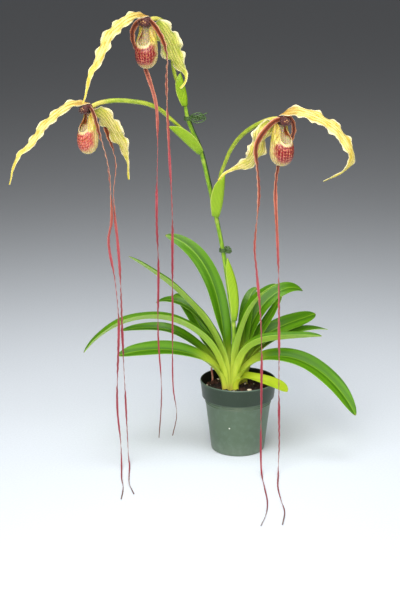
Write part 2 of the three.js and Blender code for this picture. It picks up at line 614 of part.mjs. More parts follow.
const TIES = [
  tie("stem_tie_lower", [-24.3, -9.7, 311], [2.3, 4.5], 3, [
    [[3.7, -2.2, 1.5], [7.5, -4.5, 4.5], [10.5, -3, 1], [8, -3.4, -3.5], [3.7, -2.2, -1.5]],
    [[3.7, -2.2, -1], [7, -5.5, -2], [12, -4, 2], [8.5, -1, 4.2], [4.2, -1.4, 2.2]],
  ]),
  tie("stem_tie_upper", [-75, -25, 506], [3, 4.4], 3, [
    [[3.4, -2.6, 1.6], [9, -6, 7], [18, -5, 8], [23, -3, 3], [16, -4, -2], [8, -5, -3], [3.4, -2.6, -2]],
    [[3.4, -2.6, 0], [10, -7, -5], [20, -7, -4], [26, -5, 1], [19, -6, 6], [10, -6, 3], [3.4, -2.6, 2]],
    [[3.4, -2.6, 1], [12, -4, 1], [22, -8, 6], [28, -9, 9]],
  ]),
];

// The column: a short round neck that bends to the lip, with its shield hooded over the mouth
function column(flower) {
  const { radius, shield, shieldLean, reach, drop } = COLUMN;
  const [c, s] = [Math.cos(rad(flower.turn)), Math.sin(rad(flower.turn))];
  const route = [[-6, 0, 0], [-2, 0, 0.3], [2.5 * c, 2.5 * s, 0], [reach * c, reach * s, -1.2]];
  const neck = roundBody(carried(along(route, 5), [0, 1, 0]), 8, (t) => radius * (1 - 0.2 * t));
  const hood = new THREE.SphereGeometry(1, 10, 6).scale(...shield).rotateY(rad(shieldLean));
  hood.rotateZ(rad(flower.turn));
  const body = solid(neck).add(solid(placed(hood, reach * c, reach * s, drop)));
  return finished("column_" + flower.name, geometryOf(body), FINISH.column);
}

// A sepal: a tapering blade along its route with waved edges
function sepal(name, spec, widthAt) {
  const [foot, belly, tail] = spec.rolls;
  const stations = carried(along(spec.path, SEPAL.stations), [0, 1, 0]).map((flat) => {
    const toBelly = smooth((flat.s - SEPAL.belly.from) / SEPAL.belly.over);
    const toTail = smooth((flat.s - SEPAL.tail.from) / SEPAL.tail.over);
    const upper = smooth(flat.s / SEPAL.footEnd) * mix(foot, belly, toBelly);
    const station = rolled(flat, mix(upper, tail, toTail));
    const width = Math.max(0.7, spec.half * widthAt(flat.s));
    const line = (lift) =>
      range(SEPAL.across).map((i) => {
        const t = -1 + (2 * i) / (SEPAL.across - 1);
        const phase = 2 * Math.PI * spec.waves * flat.s + (t > 0 ? SEPAL.farPhase : 0);
        const wave = SEPAL.wave * Math.sin(phase) * smooth(flat.s / SEPAL.waveFrom);
        return offset(station, t * width, (wave - SEPAL.cup) * width * t * t + lift);
      });
    return { top: line(SEPAL.thickness / 2), bottom: line(-SEPAL.thickness / 2) };
  });
  return finished(name, blade(stations), FINISH.sepal);
}

// A sepal's breadth along it: a narrow seat, a broad foot, its full breadth, then a long taper
const breadth = ({ seat, foot, spread, fall, from, over }) => (s) =>
  (seat + (foot - seat) * smooth(s / SEPAL.footEnd) + (1 - foot) * smooth((s - SEPAL.footEnd) / spread)) *
  (1 - fall * smooth((s - from) / over));
const dorsalWidth = breadth({ seat: 0.3, foot: 0.62, spread: 0.2, fall: 0.86, from: 0.45, over: 0.55 });
const synsepalWidth = breadth({ seat: 0.26, foot: 0.7, spread: 0.22, fall: 0.88, from: 0.42, over: 0.44 });

// The pouch: a thin-walled slipper, open above from the column down to its front rim
function pouchRows(inset, swell) {
  const { bottom, widest, frontRim, backRim, sides, rows } = POUCH;
  const [frontReach, backReach] = [POUCH.frontReach * swell, POUCH.backReach * swell];
  const halfWidth = POUCH.halfWidth * swell;
  const at = (angle, v) => {
    const back = (1 - Math.cos(angle)) / 2;
    const rim = mix(frontRim, backRim, back ** 0.85);
    const low = bottom + inset;
    const z = low + (rim - low) * v ** 1.25;
    const upper = clamp01((z - widest) / (backRim - widest));
    const round = Math.sqrt(clamp01(1 - clamp01((widest - z) / (widest - low)) ** 2.3));
    const reach = mix(frontReach, backReach * (1 - POUCH.backNarrowing * upper ** 1.5), smooth(back));
    const rolledIn = POUCH.lipIn * smooth((v - 0.75) / 0.25) * (1 - back);
    const scale = round * (1 - rolledIn);
    const along = Math.max(0.3, reach * scale - inset);
    const side = halfWidth * (1 - POUCH.sideNarrowing * upper ** 1.4);
    const wide = Math.max(0.3, side * scale - inset);
    return new THREE.Vector3(-0.5 + Math.cos(angle) * along, Math.sin(angle) * wide, z);
  };
  return range(rows + 1).map((r) =>
    range(sides).map((i) => at((2 * Math.PI * i) / sides, Math.max(0.02, r / rows))),
  );
}

function pouch(flower) {
  const outer = pouchRows(0, flower.swell);
  const inner = pouchRows(POUCH.wall, flower.swell);
  const geometry = loft([...outer, ...inner.reverse()]).rotateZ(rad(flower.turn));
  return finished("pouch_" + flower.name, placed(geometry, 0, 0, flower.raise), FINISH.pouch);
}

// An ovary and its stalk, slimmest where the stalk leaves the stem
function ovary(flower) {
  const stations = carried(along(flower.ovary, OVARY.stations), [0.3, 1, 0.2]);
  const body = roundBody(stations, OVARY.sides, (s) => mix(OVARY.stalk, OVARY.body, smooth(s * 1.6)));
  return finished("ovary_" + flower.name, body, FINISH.ovary);
}

// A petal: one long twisted ribbon that hangs to the floor and lies along it
function petal(name, route, near) {
  const start = near ? 1 : -1;
  const stations = carried(along(route, RIBBON.stations), [0, 0, 1]).map((flat) => {
    const station = rolled(flat, start * 360 * RIBBON.turns * smooth(flat.s / 1.6) * 1.6);
    const claw = mix(RIBBON.claw, 1, smooth(flat.s / RIBBON.clawEnd));
    const breadthHere = mix(RIBBON.footHalf, RIBBON.midHalf, smooth(flat.s / RIBBON.settles));
    const width = claw * breadthHere * (1 - 0.6 * smooth((flat.s - 0.45) / 0.55));
    const thick = (RIBBON.thickness / 2) * (1 - 0.3 * flat.s);
    return { top: [offset(station, -width, thick), offset(station, width, thick)],
      bottom: [offset(station, -width, -thick), offset(station, width, -thick)] };
  });
  return finished(name, blade(stations), FINISH.petal);
}

// The assembly
const plant = new THREE.Group();
const rhizome = rhizomeBody(0, RHIZOME.bottom, RHIZOME.top);
plant.add(pot(), finished("rhizome", geometryOf(rhizome), FINISH.rhizome));
plant.add(pottingMix(), spikeStub(), flowerStem(), stake(), ...TIES);
plant.add(...LEAVES.map(leafBlade), ...BRACTS.map(bract));
for (const flower of FLOWERS) {
  const bloom = new THREE.Group();
  bloom.position.set(...flower.origin);
  bloom.rotation.z = rad(flower.yaw);
  bloom.add(column(flower), pouch(flower));
  bloom.add(sepal("dorsal_sepal_" + flower.name, flower.dorsal, dorsalWidth));
  bloom.add(sepal("synsepal_" + flower.name, flower.synsepal, synsepalWidth));
  plant.add(bloom, ovary(flower));
  plant.add(petal("petal_near_" + flower.name, flower.nearPetal, flower.near > 0));
  plant.add(petal("petal_far_" + flower.name, flower.farPetal, flower.near < 0));
}

export default plant;
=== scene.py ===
"""Dresses a potted long-petalled slipper orchid: pot, bark mix, leaf fans, tied stem and three blooms."""
import logging
import math
from dataclasses import dataclass, field
from enum import Enum

import bmesh
import bpy
import numpy as np
from mathutils import Matrix, Vector


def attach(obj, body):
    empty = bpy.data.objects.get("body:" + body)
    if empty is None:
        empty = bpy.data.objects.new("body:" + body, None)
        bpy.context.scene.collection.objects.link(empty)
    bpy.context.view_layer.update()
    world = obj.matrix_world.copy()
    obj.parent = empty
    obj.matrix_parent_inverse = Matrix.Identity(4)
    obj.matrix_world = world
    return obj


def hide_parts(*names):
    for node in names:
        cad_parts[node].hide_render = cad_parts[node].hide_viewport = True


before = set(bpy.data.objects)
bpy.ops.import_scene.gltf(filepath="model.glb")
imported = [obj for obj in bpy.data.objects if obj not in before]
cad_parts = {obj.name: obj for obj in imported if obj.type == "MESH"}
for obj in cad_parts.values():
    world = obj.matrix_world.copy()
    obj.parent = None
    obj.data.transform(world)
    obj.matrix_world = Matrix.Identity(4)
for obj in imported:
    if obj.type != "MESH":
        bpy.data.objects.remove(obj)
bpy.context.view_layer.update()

LOG = logging.getLogger("slipper_orchid")
BODY = "root"
MM = 0.001
TAU = 2.0 * math.pi
# How finely a curve is measured, and the small step that its direction is taken over.
CURVE_SAMPLES = 601
NUDGE = 1e-4

Array = np.ndarray
Material = bpy.types.Material
Node = bpy.types.Node
Socket = bpy.types.NodeSocket
Thing = bpy.types.Object
Tree = bpy.types.NodeTree
Point = tuple[float, float, float]
Route = list[Point]
Marks = dict[str, Array]
Shape = tuple[Array, Marks]
Source = Node | Socket | float
MULTIPLY = {"operation": "MULTIPLY"}
MULTIPLY_ADD = {"operation": "MULTIPLY_ADD"}
ABSOLUTE = {"operation": "ABSOLUTE"}
SINE = {"operation": "SINE"}
DISTANCE = {"operation": "DISTANCE"}
COLOUR = {"data_type": "RGBA"}
SOFT_STEP = {"interpolation_type": "SMOOTHSTEP"}


class Kind(Enum):
    """The node kinds that the finishes are made of."""

    MARK = "ShaderNodeAttribute"
    PLACE = "ShaderNodeTexCoord"
    NOISE = "ShaderNodeTexNoise"
    SUM = "ShaderNodeMath"
    VECTOR = "ShaderNodeVectorMath"
    JOIN = "ShaderNodeCombineXYZ"
    RANGE = "ShaderNodeMapRange"
    BLEND = "ShaderNodeMix"
    BUMP = "ShaderNodeBump"


class Rank(Enum):
    """The two ranks of a fan of leaves."""

    LEFT = -1
    RIGHT = 1


class Slot(Enum):
    """The record's material slots."""

    POT = "pot_plastic"
    MIX = "bark_mix"
    STUB = "old_spike"
    LEAF = "leaf"
    STEM = "stem"
    BRACT = "bract"
    STAKE = "stake"
    TIE = "tie"
    OVARY = "ovary"
    COLUMN = "column"
    SEPAL = "sepal"
    POUCH = "pouch"
    PETAL = "petal"


def mix(a: float, b: float, share: float | Array) -> float | Array:
    """Blends a into b."""
    return a + (b - a) * share


def smooth(value: float | Array) -> Array:
    """Eases 0 to 1, flat outside that range."""
    held = np.clip(value, 0.0, 1.0)
    return held * held * (3.0 - 2.0 * held)


def blunt_tip(share: Array, start: float, roundness: float) -> Array:
    """How broad a blade is where it closes to a blunt tip.

    Args:
        share: how far along the blade, from 0 to 1.
        start: where it begins to close.
        roundness: how slowly it closes. A low number makes a blunter tip.

    Returns:
        The breadth at each station, where 1 is the blade's own.
    """
    closing = np.clip((share - start) / (1.0 - start), 0.0, 1.0)
    return (1.0 - closing**2.6) ** roundness


def unit(vectors: Array) -> Array:
    """Scales each vector to length 1."""
    return vectors / np.linalg.norm(vectors, axis=-1, keepdims=True)


def circle(count: int) -> Array:
    """The angles of even steps round a circle."""
    return np.linspace(0.0, TAU, count, endpoint=False)


def level_rings(radius: float | Array, height: float | Array, count: int) -> Array:
    """Level rings of points about the upright.

    Args:
        radius: one radius, or one for each ring.
        height: one height, or one for each ring.
        count: points in each ring.

    Returns:
        The points, a row for each ring.
    """
    angle = circle(count)
    r, z = np.asarray(radius)[..., None], np.asarray(height)[..., None]
    return np.stack(np.broadcast_arrays(r * np.cos(angle), r * np.sin(angle), z), axis=-1)


def turned(points: Array, degrees: float, axes: tuple[int, int] = (0, 1)) -> Array:
    """Turns points in the plane of two axes, which is the level one unless they are given.

    Args:
        points: the points, as rows of x, y and z.
        degrees: how far, from the first axis to the second.
        axes: the two axes, by number.

    Returns:
        The turned points.
    """
    c, s = math.cos(math.radians(degrees)), math.sin(math.radians(degrees))
    matrix = np.eye(3)
    matrix[np.ix_(axes, axes)] = [[c, s], [-s, c]]
    return points @ matrix


def hex_to_linear(code: str) -> tuple[float, float, float, float]:
    """Turns an sRGB hex colour into a linear one.

    Args:
        code: six hex digits, without a mark before them.

    Returns:
        Red, green, blue and an alpha of 1.
    """
    parts = [int(code[i : i + 2], 16) / 255.0 for i in (0, 2, 4)]
    red, green, blue = [p / 12.92 if p <= 0.04045 else ((p + 0.055) / 1.055) ** 2.4 for p in parts]
    return red, green, blue, 1.0


def add_node(tree: Tree, kind: Kind, settings: dict, inputs: dict) -> Node:
    """Adds a node with its settings and links.

    Args:
        tree: the material's node tree.
        kind: which node.
        settings: the node's own properties.
        inputs: socket name or number to a constant, a socket, or a node whose first live output is used.

    Returns:
        The new node.
    """
    node = tree.nodes.new(kind.value)
    for key, value in settings.items():
        setattr(node, key, value)
    for key, value in inputs.items():
        live = [s for s in node.inputs if s.enabled and s.name == key]
        socket = node.inputs[key] if isinstance(key, int) else live[0]
        source = value
        if isinstance(value, Node):
            source = next(s for s in value.outputs if s.enabled)
        if isinstance(source, Socket):
            tree.links.new(source, socket)
        else:
            socket.default_value = source
    return node


@dataclass
class Track:
    """Stations along a line, each with its own directions, in millimetres."""

    share: Array
    at: Array
    ahead: Array
    side: Array
    length: float

    @property
    def face(self) -> Array:
        """The direction that each station's face looks in."""
        return np.cross(self.ahead, self.side)

    @property
    def run(self) -> Array:
        """How far along the line each station is."""
        return self.share * self.length

    @classmethod
    def along(cls, route: Route, count: int, sideways: Point) -> "Track":
        """Walks a smooth curve through given points at even steps.

        Args:
            route: the points that the curve passes through.
            count: how many stations.
            sideways: the first station's side direction, carried on without turning.

        Returns:
            The stations.
        """
        points = np.array(route, dtype=float)
        params = np.linspace(0.0, 1.0, CURVE_SAMPLES)
        steps = np.linalg.norm(np.diff(cls.curve(points, params), axis=0), axis=1)
        lengths = np.concatenate([[0.0], np.cumsum(steps)])
        share = np.linspace(0.0, 1.0, count)
        spots = np.interp(share * lengths[-1], lengths, params)
        after = cls.curve(points, np.minimum(spots + NUDGE, 1.0))
        ahead = unit(after - cls.curve(points, np.maximum(spots - NUDGE, 0.0)))
        side = np.empty_like(ahead)
        carried = np.array(sideways, dtype=float)
        for i, direction in enumerate(ahead):
            carried = unit(carried - direction * carried.dot(direction))
            side[i] = carried
        return cls(share, cls.curve(points, spots), ahead, side, float(lengths[-1]))

    @staticmethod
    def curve(points: Array, params: Array) -> Array:
        """Places on a centripetal curve.

        Args:
            points: the points that the curve passes through.
            params: where on the curve, from 0 to 1.

        Returns:
            One place for each parameter.
        """
        padded = np.vstack([2 * points[0] - points[1], points, 2 * points[-1] - points[-2]])
        spot = params * (len(points) - 1)
        index = np.minimum(spot.astype(int), len(points) - 2)
        w = (spot - index)[:, None]
        p0, p1, p2, p3 = (padded[index + i] for i in range(4))
        pairs = ((p0, p1), (p1, p2), (p2, p3))
        d0, d1, d2 = (np.sqrt(np.linalg.norm(b - a, axis=1))[:, None] for a, b in pairs)
        start = ((p1 - p0) / d0 - (p2 - p0) / (d0 + d1) + (p2 - p1) / d1) * d1
        end = ((p2 - p1) / d1 - (p3 - p1) / (d1 + d2) + (p3 - p2) / d2) * d1
        square, cube = 3 * (p2 - p1) - 2 * start - end, 2 * (p1 - p2) + start + end
        return p1 + start * w + square * w**2 + cube * w**3

    def rolled(self, degrees: Array) -> "Track":
        """Turns each station about the line.

        Args:
            degrees: how far, for each station.

        Returns:
            The same line, turned.
        """
        angle = np.radians(degrees)[:, None]
        side = self.side * np.cos(angle) + self.face * np.sin(angle)
        return Track(self.share, self.at, self.ahead, side, self.length)

    def place(self, sideways: Array, facing: Array) -> Array:
        """Points beside the line.

        Args:
            sideways: distance to the side, one row for each station.
            facing: distance towards the face, likewise.

        Returns:
            The points, as rows of a grid.
        """
        aside = self.side[:, None, :] * np.asarray(sideways)[..., None]
        return self.at[:, None, :] + aside + self.face[:, None, :] * np.asarray(facing)[..., None]

    def tube(self, radii: Array, sides: int) -> Array:
        """A round body's grid.

        Args:
            radii: one radius for each station, or a row of them.
            sides: points round the line.

        Returns:
            The grid of points.
        """
        angle, count = circle(sides)[None, :], len(self.share)
        around = np.broadcast_to(np.asarray(radii).reshape(count, -1), (count, sides))
        return self.place(around * np.cos(angle), around * np.sin(angle))

    def stalk(self, radii: Array, girth: float, pale: Array) -> Shape:
        """A stalk's rings, with fibres that run along it.

        Args:
            radii: one radius for each station and each point round it.
            girth: the radius that its fibres are spaced for.
            pale: how pale each station is.

        Returns:
            The grid, and its marks.
        """
        sides = radii.shape[1]
        across = np.broadcast_to(circle(sides) * girth, radii.shape)
        return self.tube(radii, sides), {"across": across, "run": self.run, "joint": pale}

    def sheet(self, t: Array, width: Array, middle: Array, depth: Array) -> Shape:
        """A thin blade's rings: over its upper face and back under it.

        Args:
            t: place across the blade, from -1 to 1.
            width: half its breadth, for each station and place.
            middle: how high its middle layer stands there.
            depth: half its thickness there.

        Returns:
            The grid, and its marks.
        """
        out = t * width
        top, bottom = self.place(out, middle + depth), self.place(out, middle - depth)
        rows = {"across": out, "edge": np.broadcast_to(t, out.shape)}
        marks = {key: np.concatenate([row, row[:, ::-1]], axis=1) for key, row in rows.items()}
        marks |= {"share": self.share, "run": self.run}
        return np.concatenate([top, bottom[:, ::-1]], axis=1), marks


def piece_from(name: str, points: Array, faces: list[tuple[int, ...]], marks: Marks) -> Thing:
    """Makes an object from points in millimetres.

    Args:
        name: the object's name.
        points: the points.
        faces: each face's points, by number.
        marks: named numbers, one for each point.

    Returns:
        The object, smooth shaded, with its faces pointing out.
    """
    mesh = bpy.data.meshes.new(name)
    mesh.from_pydata((points * MM).tolist(), [], faces)
    tidy = bmesh.new()
    tidy.from_mesh(mesh)
    bmesh.ops.recalc_face_normals(tidy, faces=tidy.faces)
    tidy.to_mesh(mesh)
    tidy.free()
    for key, values in marks.items():
        layer = mesh.attributes.new(key, "FLOAT", "POINT")
        layer.data.foreach_set("value", np.asarray(values, dtype=np.float32).ravel())
    mesh.shade_smooth()
    made = bpy.data.objects.new(name, mesh)
    bpy.context.scene.collection.objects.link(made)
    return made


def loft_faces(rows: int, ring: int, start: int = 0) -> list[tuple[int, ...]]:
    """Faces of a closed body through rings of points.

    Args:
        rows: how many rings.
        ring: points in each ring.
        start: the number of the first point.

    Returns:
        The faces, with one flat face at each end.
    """
    faces = [tuple(range(start, start + ring))[::-1]]
    for here in range(start, start + (rows - 1) * ring, ring):
        turns = [(here + i, here + (i + 1) % ring) for i in range(ring)]
        faces += [(a, b, b + ring, a + ring) for a, b in turns]
    last = start + (rows - 1) * ring
    faces.append(tuple(range(last, last + ring)))
    return faces


def loft(name: str, grids: list[Array], marks: list[Marks]) -> Thing:
    """Makes one object of closed bodies, each through the rings of its own grid.

    Args:
        name: the object's name.
        grids: each body's rings of points, in millimetres.
        marks: each body's named numbers: one number, one for each ring, or one for each point.

    Returns:
        The object.
    """
    faces: list[tuple[int, ...]] = []
    spread: dict[str, list[Array]] = {}
    start = 0
    for grid, own in zip(grids, marks):
        rows, ring = grid.shape[:2]
        faces += loft_faces(rows, ring, start)
        start += rows * ring
        for key, values in own.items():
            column = np.asarray(values, dtype=float)
            column = column[:, None] if column.ndim == 1 else column
            spread.setdefault(key, []).append(np.broadcast_to(column, (rows, ring)).ravel())
    joined = {key: np.concatenate(parts) for key, parts in spread.items()}
    return piece_from(name, np.concatenate([g.reshape(-1, 3) for g in grids]), faces, joined)


def dress(piece: Thing, material: Material, slot: Slot, *nodes: str) -> None:
    """Gives a piece its finish and its body, and hides the frame's nodes that it stands for.

    Args:
        piece: the object.
        material: its finish.
        slot: the record's material slot; not used.
        nodes: the frame's nodes that the piece replaces.
    """
    piece.data.materials.clear()
    piece.data.materials.append(material)
    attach(piece, BODY)
    if nodes:
        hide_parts(*nodes)
    LOG.info("%s: %d faces", piece.name, len(piece.data.polygons))


@dataclass(frozen=True)
class Layer:
    """A colour laid over those below it, as a pattern passes from one value to another.

    cover is how much it hides, and within is a second pattern that it keeps inside.
    """

    colour: str
    pattern: Source
    start: float
    end: float
    cover: float = 1.0
    within: Source | None = None


@dataclass(frozen=True)
class Surface:
    """What a finish paints: its ground, its layers, and what breaks up its gloss and its relief."""

    ground: str
    layers: list[Layer]
    gloss: Node
    relief: Node


@dataclass
class Pattern:
    """Draws the patterns of one material, from the numbers that its piece carries at its points."""

    tree: Tree

    def mark(self, name: str) -> Socket:
        """One of the piece's own numbers."""
        return add_node(self.tree, Kind.MARK, {"attribute_name": name}, {}).outputs["Fac"]

    def size(self, name: str) -> Node:
        """One of the piece's own numbers, without its sign."""
        return add_node(self.tree, Kind.SUM, ABSOLUTE, {0: self.mark(name)})

    def noise(self, place: Source, size: float) -> Node:
        """Cloudy patches of a size, in the unit of the place that they are drawn over."""
        return add_node(self.tree, Kind.NOISE, {}, {"Vector": place, "Scale": 1.0 / size, "Detail": 3.0})

    def place(self) -> Socket:
        """The place on the plant, in metres."""
        return add_node(self.tree, Kind.PLACE, {}, {}).outputs["Object"]

    def product(self, first: Source, second: Source) -> Node:
        """Two patterns multiplied."""
        return add_node(self.tree, Kind.SUM, MULTIPLY, {0: first, 1: second})

    def eased(self, source: Source, start: float, end: float, low: float = 0.0,
              high: float = 1.0) -> Node:
        """A pattern passed softly from one value to another.

        Args:
            source: what is read.
            start: the reading where it begins to pass.
            end: the reading where it has passed.
            low: its value before the start.
            high: its value after the end.

        Returns:
            The pattern.
        """
        reach = {"From Min": start, "From Max": end, "To Min": low, "To Max": high}
        return add_node(self.tree, Kind.RANGE, SOFT_STEP, {"Value": source} | reach)

    def blotches(self, size_mm: float, stretch: Point = (1.0, 1.0, 1.0)) -> Node:
        """Uneven patches through the whole piece.

        Args:
            size_mm: the size of a patch.
            stretch: how much faster it changes along each axis.

        Returns:
            The pattern, from 0 to 1.
        """
        drawn = add_node(self.tree, Kind.VECTOR, MULTIPLY, {0: self.place(), 1: stretch})
        return self.noise(drawn, size_mm * MM)

    def streaks(self, size_mm: float, drawn_out: float) -> Node:
        """Streaks that run with the piece.

        Args:
            size_mm: their breadth.
            drawn_out: how many times as long they are.

        Returns:
            The pattern, from 0 to 1.
        """
        along = self.product(self.mark("run"), 1.0 / drawn_out)
        lay = add_node(self.tree, Kind.JOIN, {}, {"X": self.mark("across"), "Y": along, "Z": 0.0})
        return self.noise(lay, size_mm)

    def lines(self, name: str, spacing: float, waver: Source, amount: float) -> Node:
        """Even lines that wander a little.

        Args:
            name: the number that they are counted along.
            spacing: the step from line to line, in that number's unit.
            waver: what pushes them aside.
            amount: how far it does.

        Returns:
            The pattern, from -1 to 1.
        """
        shift = self.product(waver, amount)
        terms = {0: self.mark(name), 1: TAU / spacing, 2: shift}
        phase = add_node(self.tree, Kind.SUM, MULTIPLY_ADD, terms)
        return add_node(self.tree, Kind.SUM, SINE, {0: phase})


@dataclass(frozen=True)
class Finish:
    """What every finish shares: a name and the constants of its shader."""

    name: str = "finish"
    roughness: float = 0.5
    uneven: float = 0.12
    ior: float = 1.45
    coat: float = 0.0
    coat_roughness: float = 0.2
    sheen: float = 0.0
    glow: float = 0.0
    glow_depth: float = 1.5
    relief_mm: float = 0.2
    relief_strength: float = 0.3

    def paint(self, draw: Pattern) -> Surface:
        """Draws the finish. Each one has its own."""
        raise NotImplementedError

    def make(self) -> Material:
        """Makes the material.

        Returns:
            The finish's layers over its ground, with its gloss, its relief and its constants.
        """
        material = bpy.data.materials.new(self.name)
        material.use_nodes = True
        tree = material.node_tree
        draw = Pattern(tree)
        surface = self.paint(draw)
        skin: Source | tuple = hex_to_linear(surface.ground)
        for layer in surface.layers:
            shown = draw.eased(layer.pattern, layer.start, layer.end, high=layer.cover)
            if layer.within is not None:
                shown = draw.product(shown, layer.within)
            colours = {"A": skin, "B": hex_to_linear(layer.colour)}
            skin = add_node(tree, Kind.BLEND, COLOUR, {"Factor": shown} | colours)
        gloss = {"To Min": self.roughness - 0.5 * self.uneven, "To Max": self.roughness + self.uneven}
        rough = add_node(tree, Kind.RANGE, {}, {"Value": surface.gloss} | gloss)
        bump = {"Strength": self.relief_strength, "Distance": self.relief_mm * MM}
        relief = add_node(tree, Kind.BUMP, {}, bump | {"Height": surface.relief})
        shader = tree.nodes["Principled BSDF"]
        tree.links.new(next(s for s in skin.outputs if s.enabled), shader.inputs["Base Color"])
        tree.links.new(rough.outputs[0], shader.inputs["Roughness"])
        tree.links.new(relief.outputs[0], shader.inputs["Normal"])
        for socket, value in (
            ("IOR", self.ior), ("Coat Weight", self.coat), ("Coat Roughness", self.coat_roughness),
            ("Sheen Weight", self.sheen), ("Subsurface Weight", self.glow),
            ("Subsurface Scale", self.glow_depth * MM), ("Subsurface Radius", (0.7, 1.0, 0.35)),
        ):
            shader.inputs[socket].default_value = value
        return material


@dataclass(frozen=True)
class MouldedPolypropylene(Finish):
    """Polypropylene, injection moulded: an even satin skin with faint orange peel, scuffs, a paler haze
    towards the foot and painted shade inside.
    """

    name: str = "moulded_polypropylene"
    roughness: float = 0.34
    ior: float = 1.49
    relief_mm: float = 0.1
    relief_strength: float = 0.12
    body: str = "506450"
    band: str = "203222"
    # painted shade: near black for the inner wall and floor, far darker than the plastic itself
    inside: str = "0C110E"
    worn: str = "6A8174"
    # a paler colour laid in patches over the lowest 30 mm of the wall
    foot_haze: str = "95A398"
    speck: str = "ECEEE4"
    peel_mm: float = 0.7
    scuff_mm: float = 9.0
    scratch_mm: float = 1.2
    speck_at: Point = (-13.4, -42.4, 46.5)
    speck_radius: float = 1.4

    def paint(self, draw: Pattern) -> Surface:
        """The band is deep green, the wall below it hazy with wear and paler towards the foot, the inside
        darkened with painted shade, and one lime speck dried on it.

        Args:
            draw: the patterns of the new material.

        Returns:
            What is painted.
        """
        drift = draw.blotches(self.scuff_mm)
        scratch = draw.blotches(self.scratch_mm, (1.0, 1.0, 0.12))
        spot = tuple(v * MM for v in self.speck_at)
        away = add_node(draw.tree, Kind.VECTOR, DISTANCE, {0: draw.place(), 1: spot})
        near = self.speck_radius * MM
        layers = [
            Layer(self.worn, drift, 0.45, 0.8, 0.3),
            # paler in patches towards the foot of the pot
            Layer(self.foot_haze, draw.mark("height"), 30.0, 0.0, 0.35, drift),
            Layer(self.band, draw.mark("band"), 0.0, 1.0),
            Layer(self.worn, scratch, 0.6, 0.8, 0.16),
            Layer(self.worn, draw.mark("edge"), 0.0, 1.0, 0.55),
            # painted shade: the inner wall and floor darkened almost to black
            Layer(self.inside, draw.mark("inner"), 0.0, 1.0, 0.92),
            Layer(self.speck, away.outputs["Value"], near * 1.3, near * 0.7),
        ]
        return Surface(self.body, layers, drift, draw.blotches(self.peel_mm))


@dataclass(frozen=True)
class FirBark(Finish):
    """Fir bark, chipped and damp: dark fibrous pieces that shade from near black to red brown."""

    name: str = "fir_bark_chips"
    roughness: float = 0.7
    uneven: float = 0.25
    relief_mm: float = 0.6
    relief_strength: float = 0.7
    dark: str = "17100D"
    brown: str = "3F261C"
    red: str = "5E3A2C"
    pale: str = "D9CFB4"
    fibre_mm: float = 0.9
    pore_mm: float = 2.4

    def paint(self, draw: Pattern) -> Surface:
        """Each chip has its own tint, with fibres and pores over it, and a few are bleached pale.

        Args:
            draw: the patterns of the new material.

        Returns:
            What is painted.
        """
        fibre, pores = draw.blotches(self.fibre_mm), draw.blotches(self.pore_mm)
        layers = [
            Layer(self.brown, draw.mark("tint"), 0.0, 1.0),
            Layer(self.red, pores, 0.52, 0.75, 0.6),
            Layer(self.dark, fibre, 0.5, 0.3, 0.7),
            Layer(self.pale, draw.mark("pale"), 0.0, 1.0),
        ]
        return Surface(self.dark, layers, pores, fibre)


@dataclass(frozen=True)
class WaxyLeaf(Finish):
    """Strap leaf under a thin wax cuticle, grown: a soft gloss over fine parallel veins, paler below."""

    name: str = "waxy_leaf"
    roughness: float = 0.33
    coat: float = 0.03
    glow: float = 0.12
    upper_deep: str = "306602"
    upper: str = "568E02"
    groove: str = "8CBC28"
    lower: str = "96C23C"
    lower_pale: str = "BADB60"
    foot: str = "C2D84A"
    root: str = "B98A4C"
    yellow: str = "B2C82A"
    tip: str = "A89A4A"
    vein_mm: float = 1.5
    streak_mm: float = 0.9
    cloud_mm: float = 9.0
    drawn_out: float = 30.0

    def paint(self, draw: Pattern) -> Surface:
        """Veins run with the blade, the groove and the foot of the leaf are pale, and the tip dries.

        Args:
            draw: the patterns of the new material.

        Returns:
            What is painted.
        """
        streaks = draw.streaks(self.streak_mm, self.drawn_out)
        veins = draw.lines("across", self.vein_mm, streaks, 2.2)
        below = draw.mark("under")
        layers = [
            Layer(self.upper, draw.streaks(self.cloud_mm, self.drawn_out), 0.36, 0.66),
            Layer(self.groove, veins, 0.3, 1.0, 0.18),
            Layer(self.groove, draw.size("across"), 1.3, 0.3, 0.45),
            Layer(self.lower, below, 0.0, 1.0),
            Layer(self.lower_pale, streaks, 0.35, 0.7, 0.9, below),
            Layer(self.foot, draw.mark("foot"), 0.0, 1.0),
            Layer(self.root, draw.mark("run"), 16.0, 0.0, 0.55),
            Layer(self.yellow, draw.mark("warmth"), 0.0, 1.0),
            Layer(self.groove, draw.mark("edge"), 0.93, 1.0, 0.5),
            Layer(self.tip, draw.mark("share"), 0.985, 1.0, 0.6),
        ]
        return Surface(self.upper_deep, layers, streaks, veins)


@dataclass(frozen=True)
class GreenStalk(Finish):
    """Living stem skin, grown: fine lengthwise fibres and a satin surface with a little down."""

    name: str = "green_stalk"
    roughness: float = 0.42
    sheen: float = 0.12
    glow: float = 0.1
    relief_mm: float = 0.15
    relief_strength: float = 0.35
    dark: str = "5F930F"
    light: str = "93BB2C"
    ring: str = "B5C95A"
    fibre_mm: float = 0.5
    cloud_mm: float = 3.5

    def paint(self, draw: Pattern) -> Surface:
        """Fibres run with the stalk, and its joints are paler.

        Args:
            draw: the patterns of the new material.

        Returns:
            What is painted.
        """
        fibres = draw.streaks(self.fibre_mm, 16.0)
        layers = [
            Layer(self.light, draw.streaks(self.cloud_mm, 4.0), 0.35, 0.65),
            Layer(self.light, fibres, 0.5, 0.75, 0.35),
            Layer(self.ring, draw.mark("joint"), 0.0, 1.0, 0.75),
        ]
        return Surface(self.dark, layers, fibres, fibres)


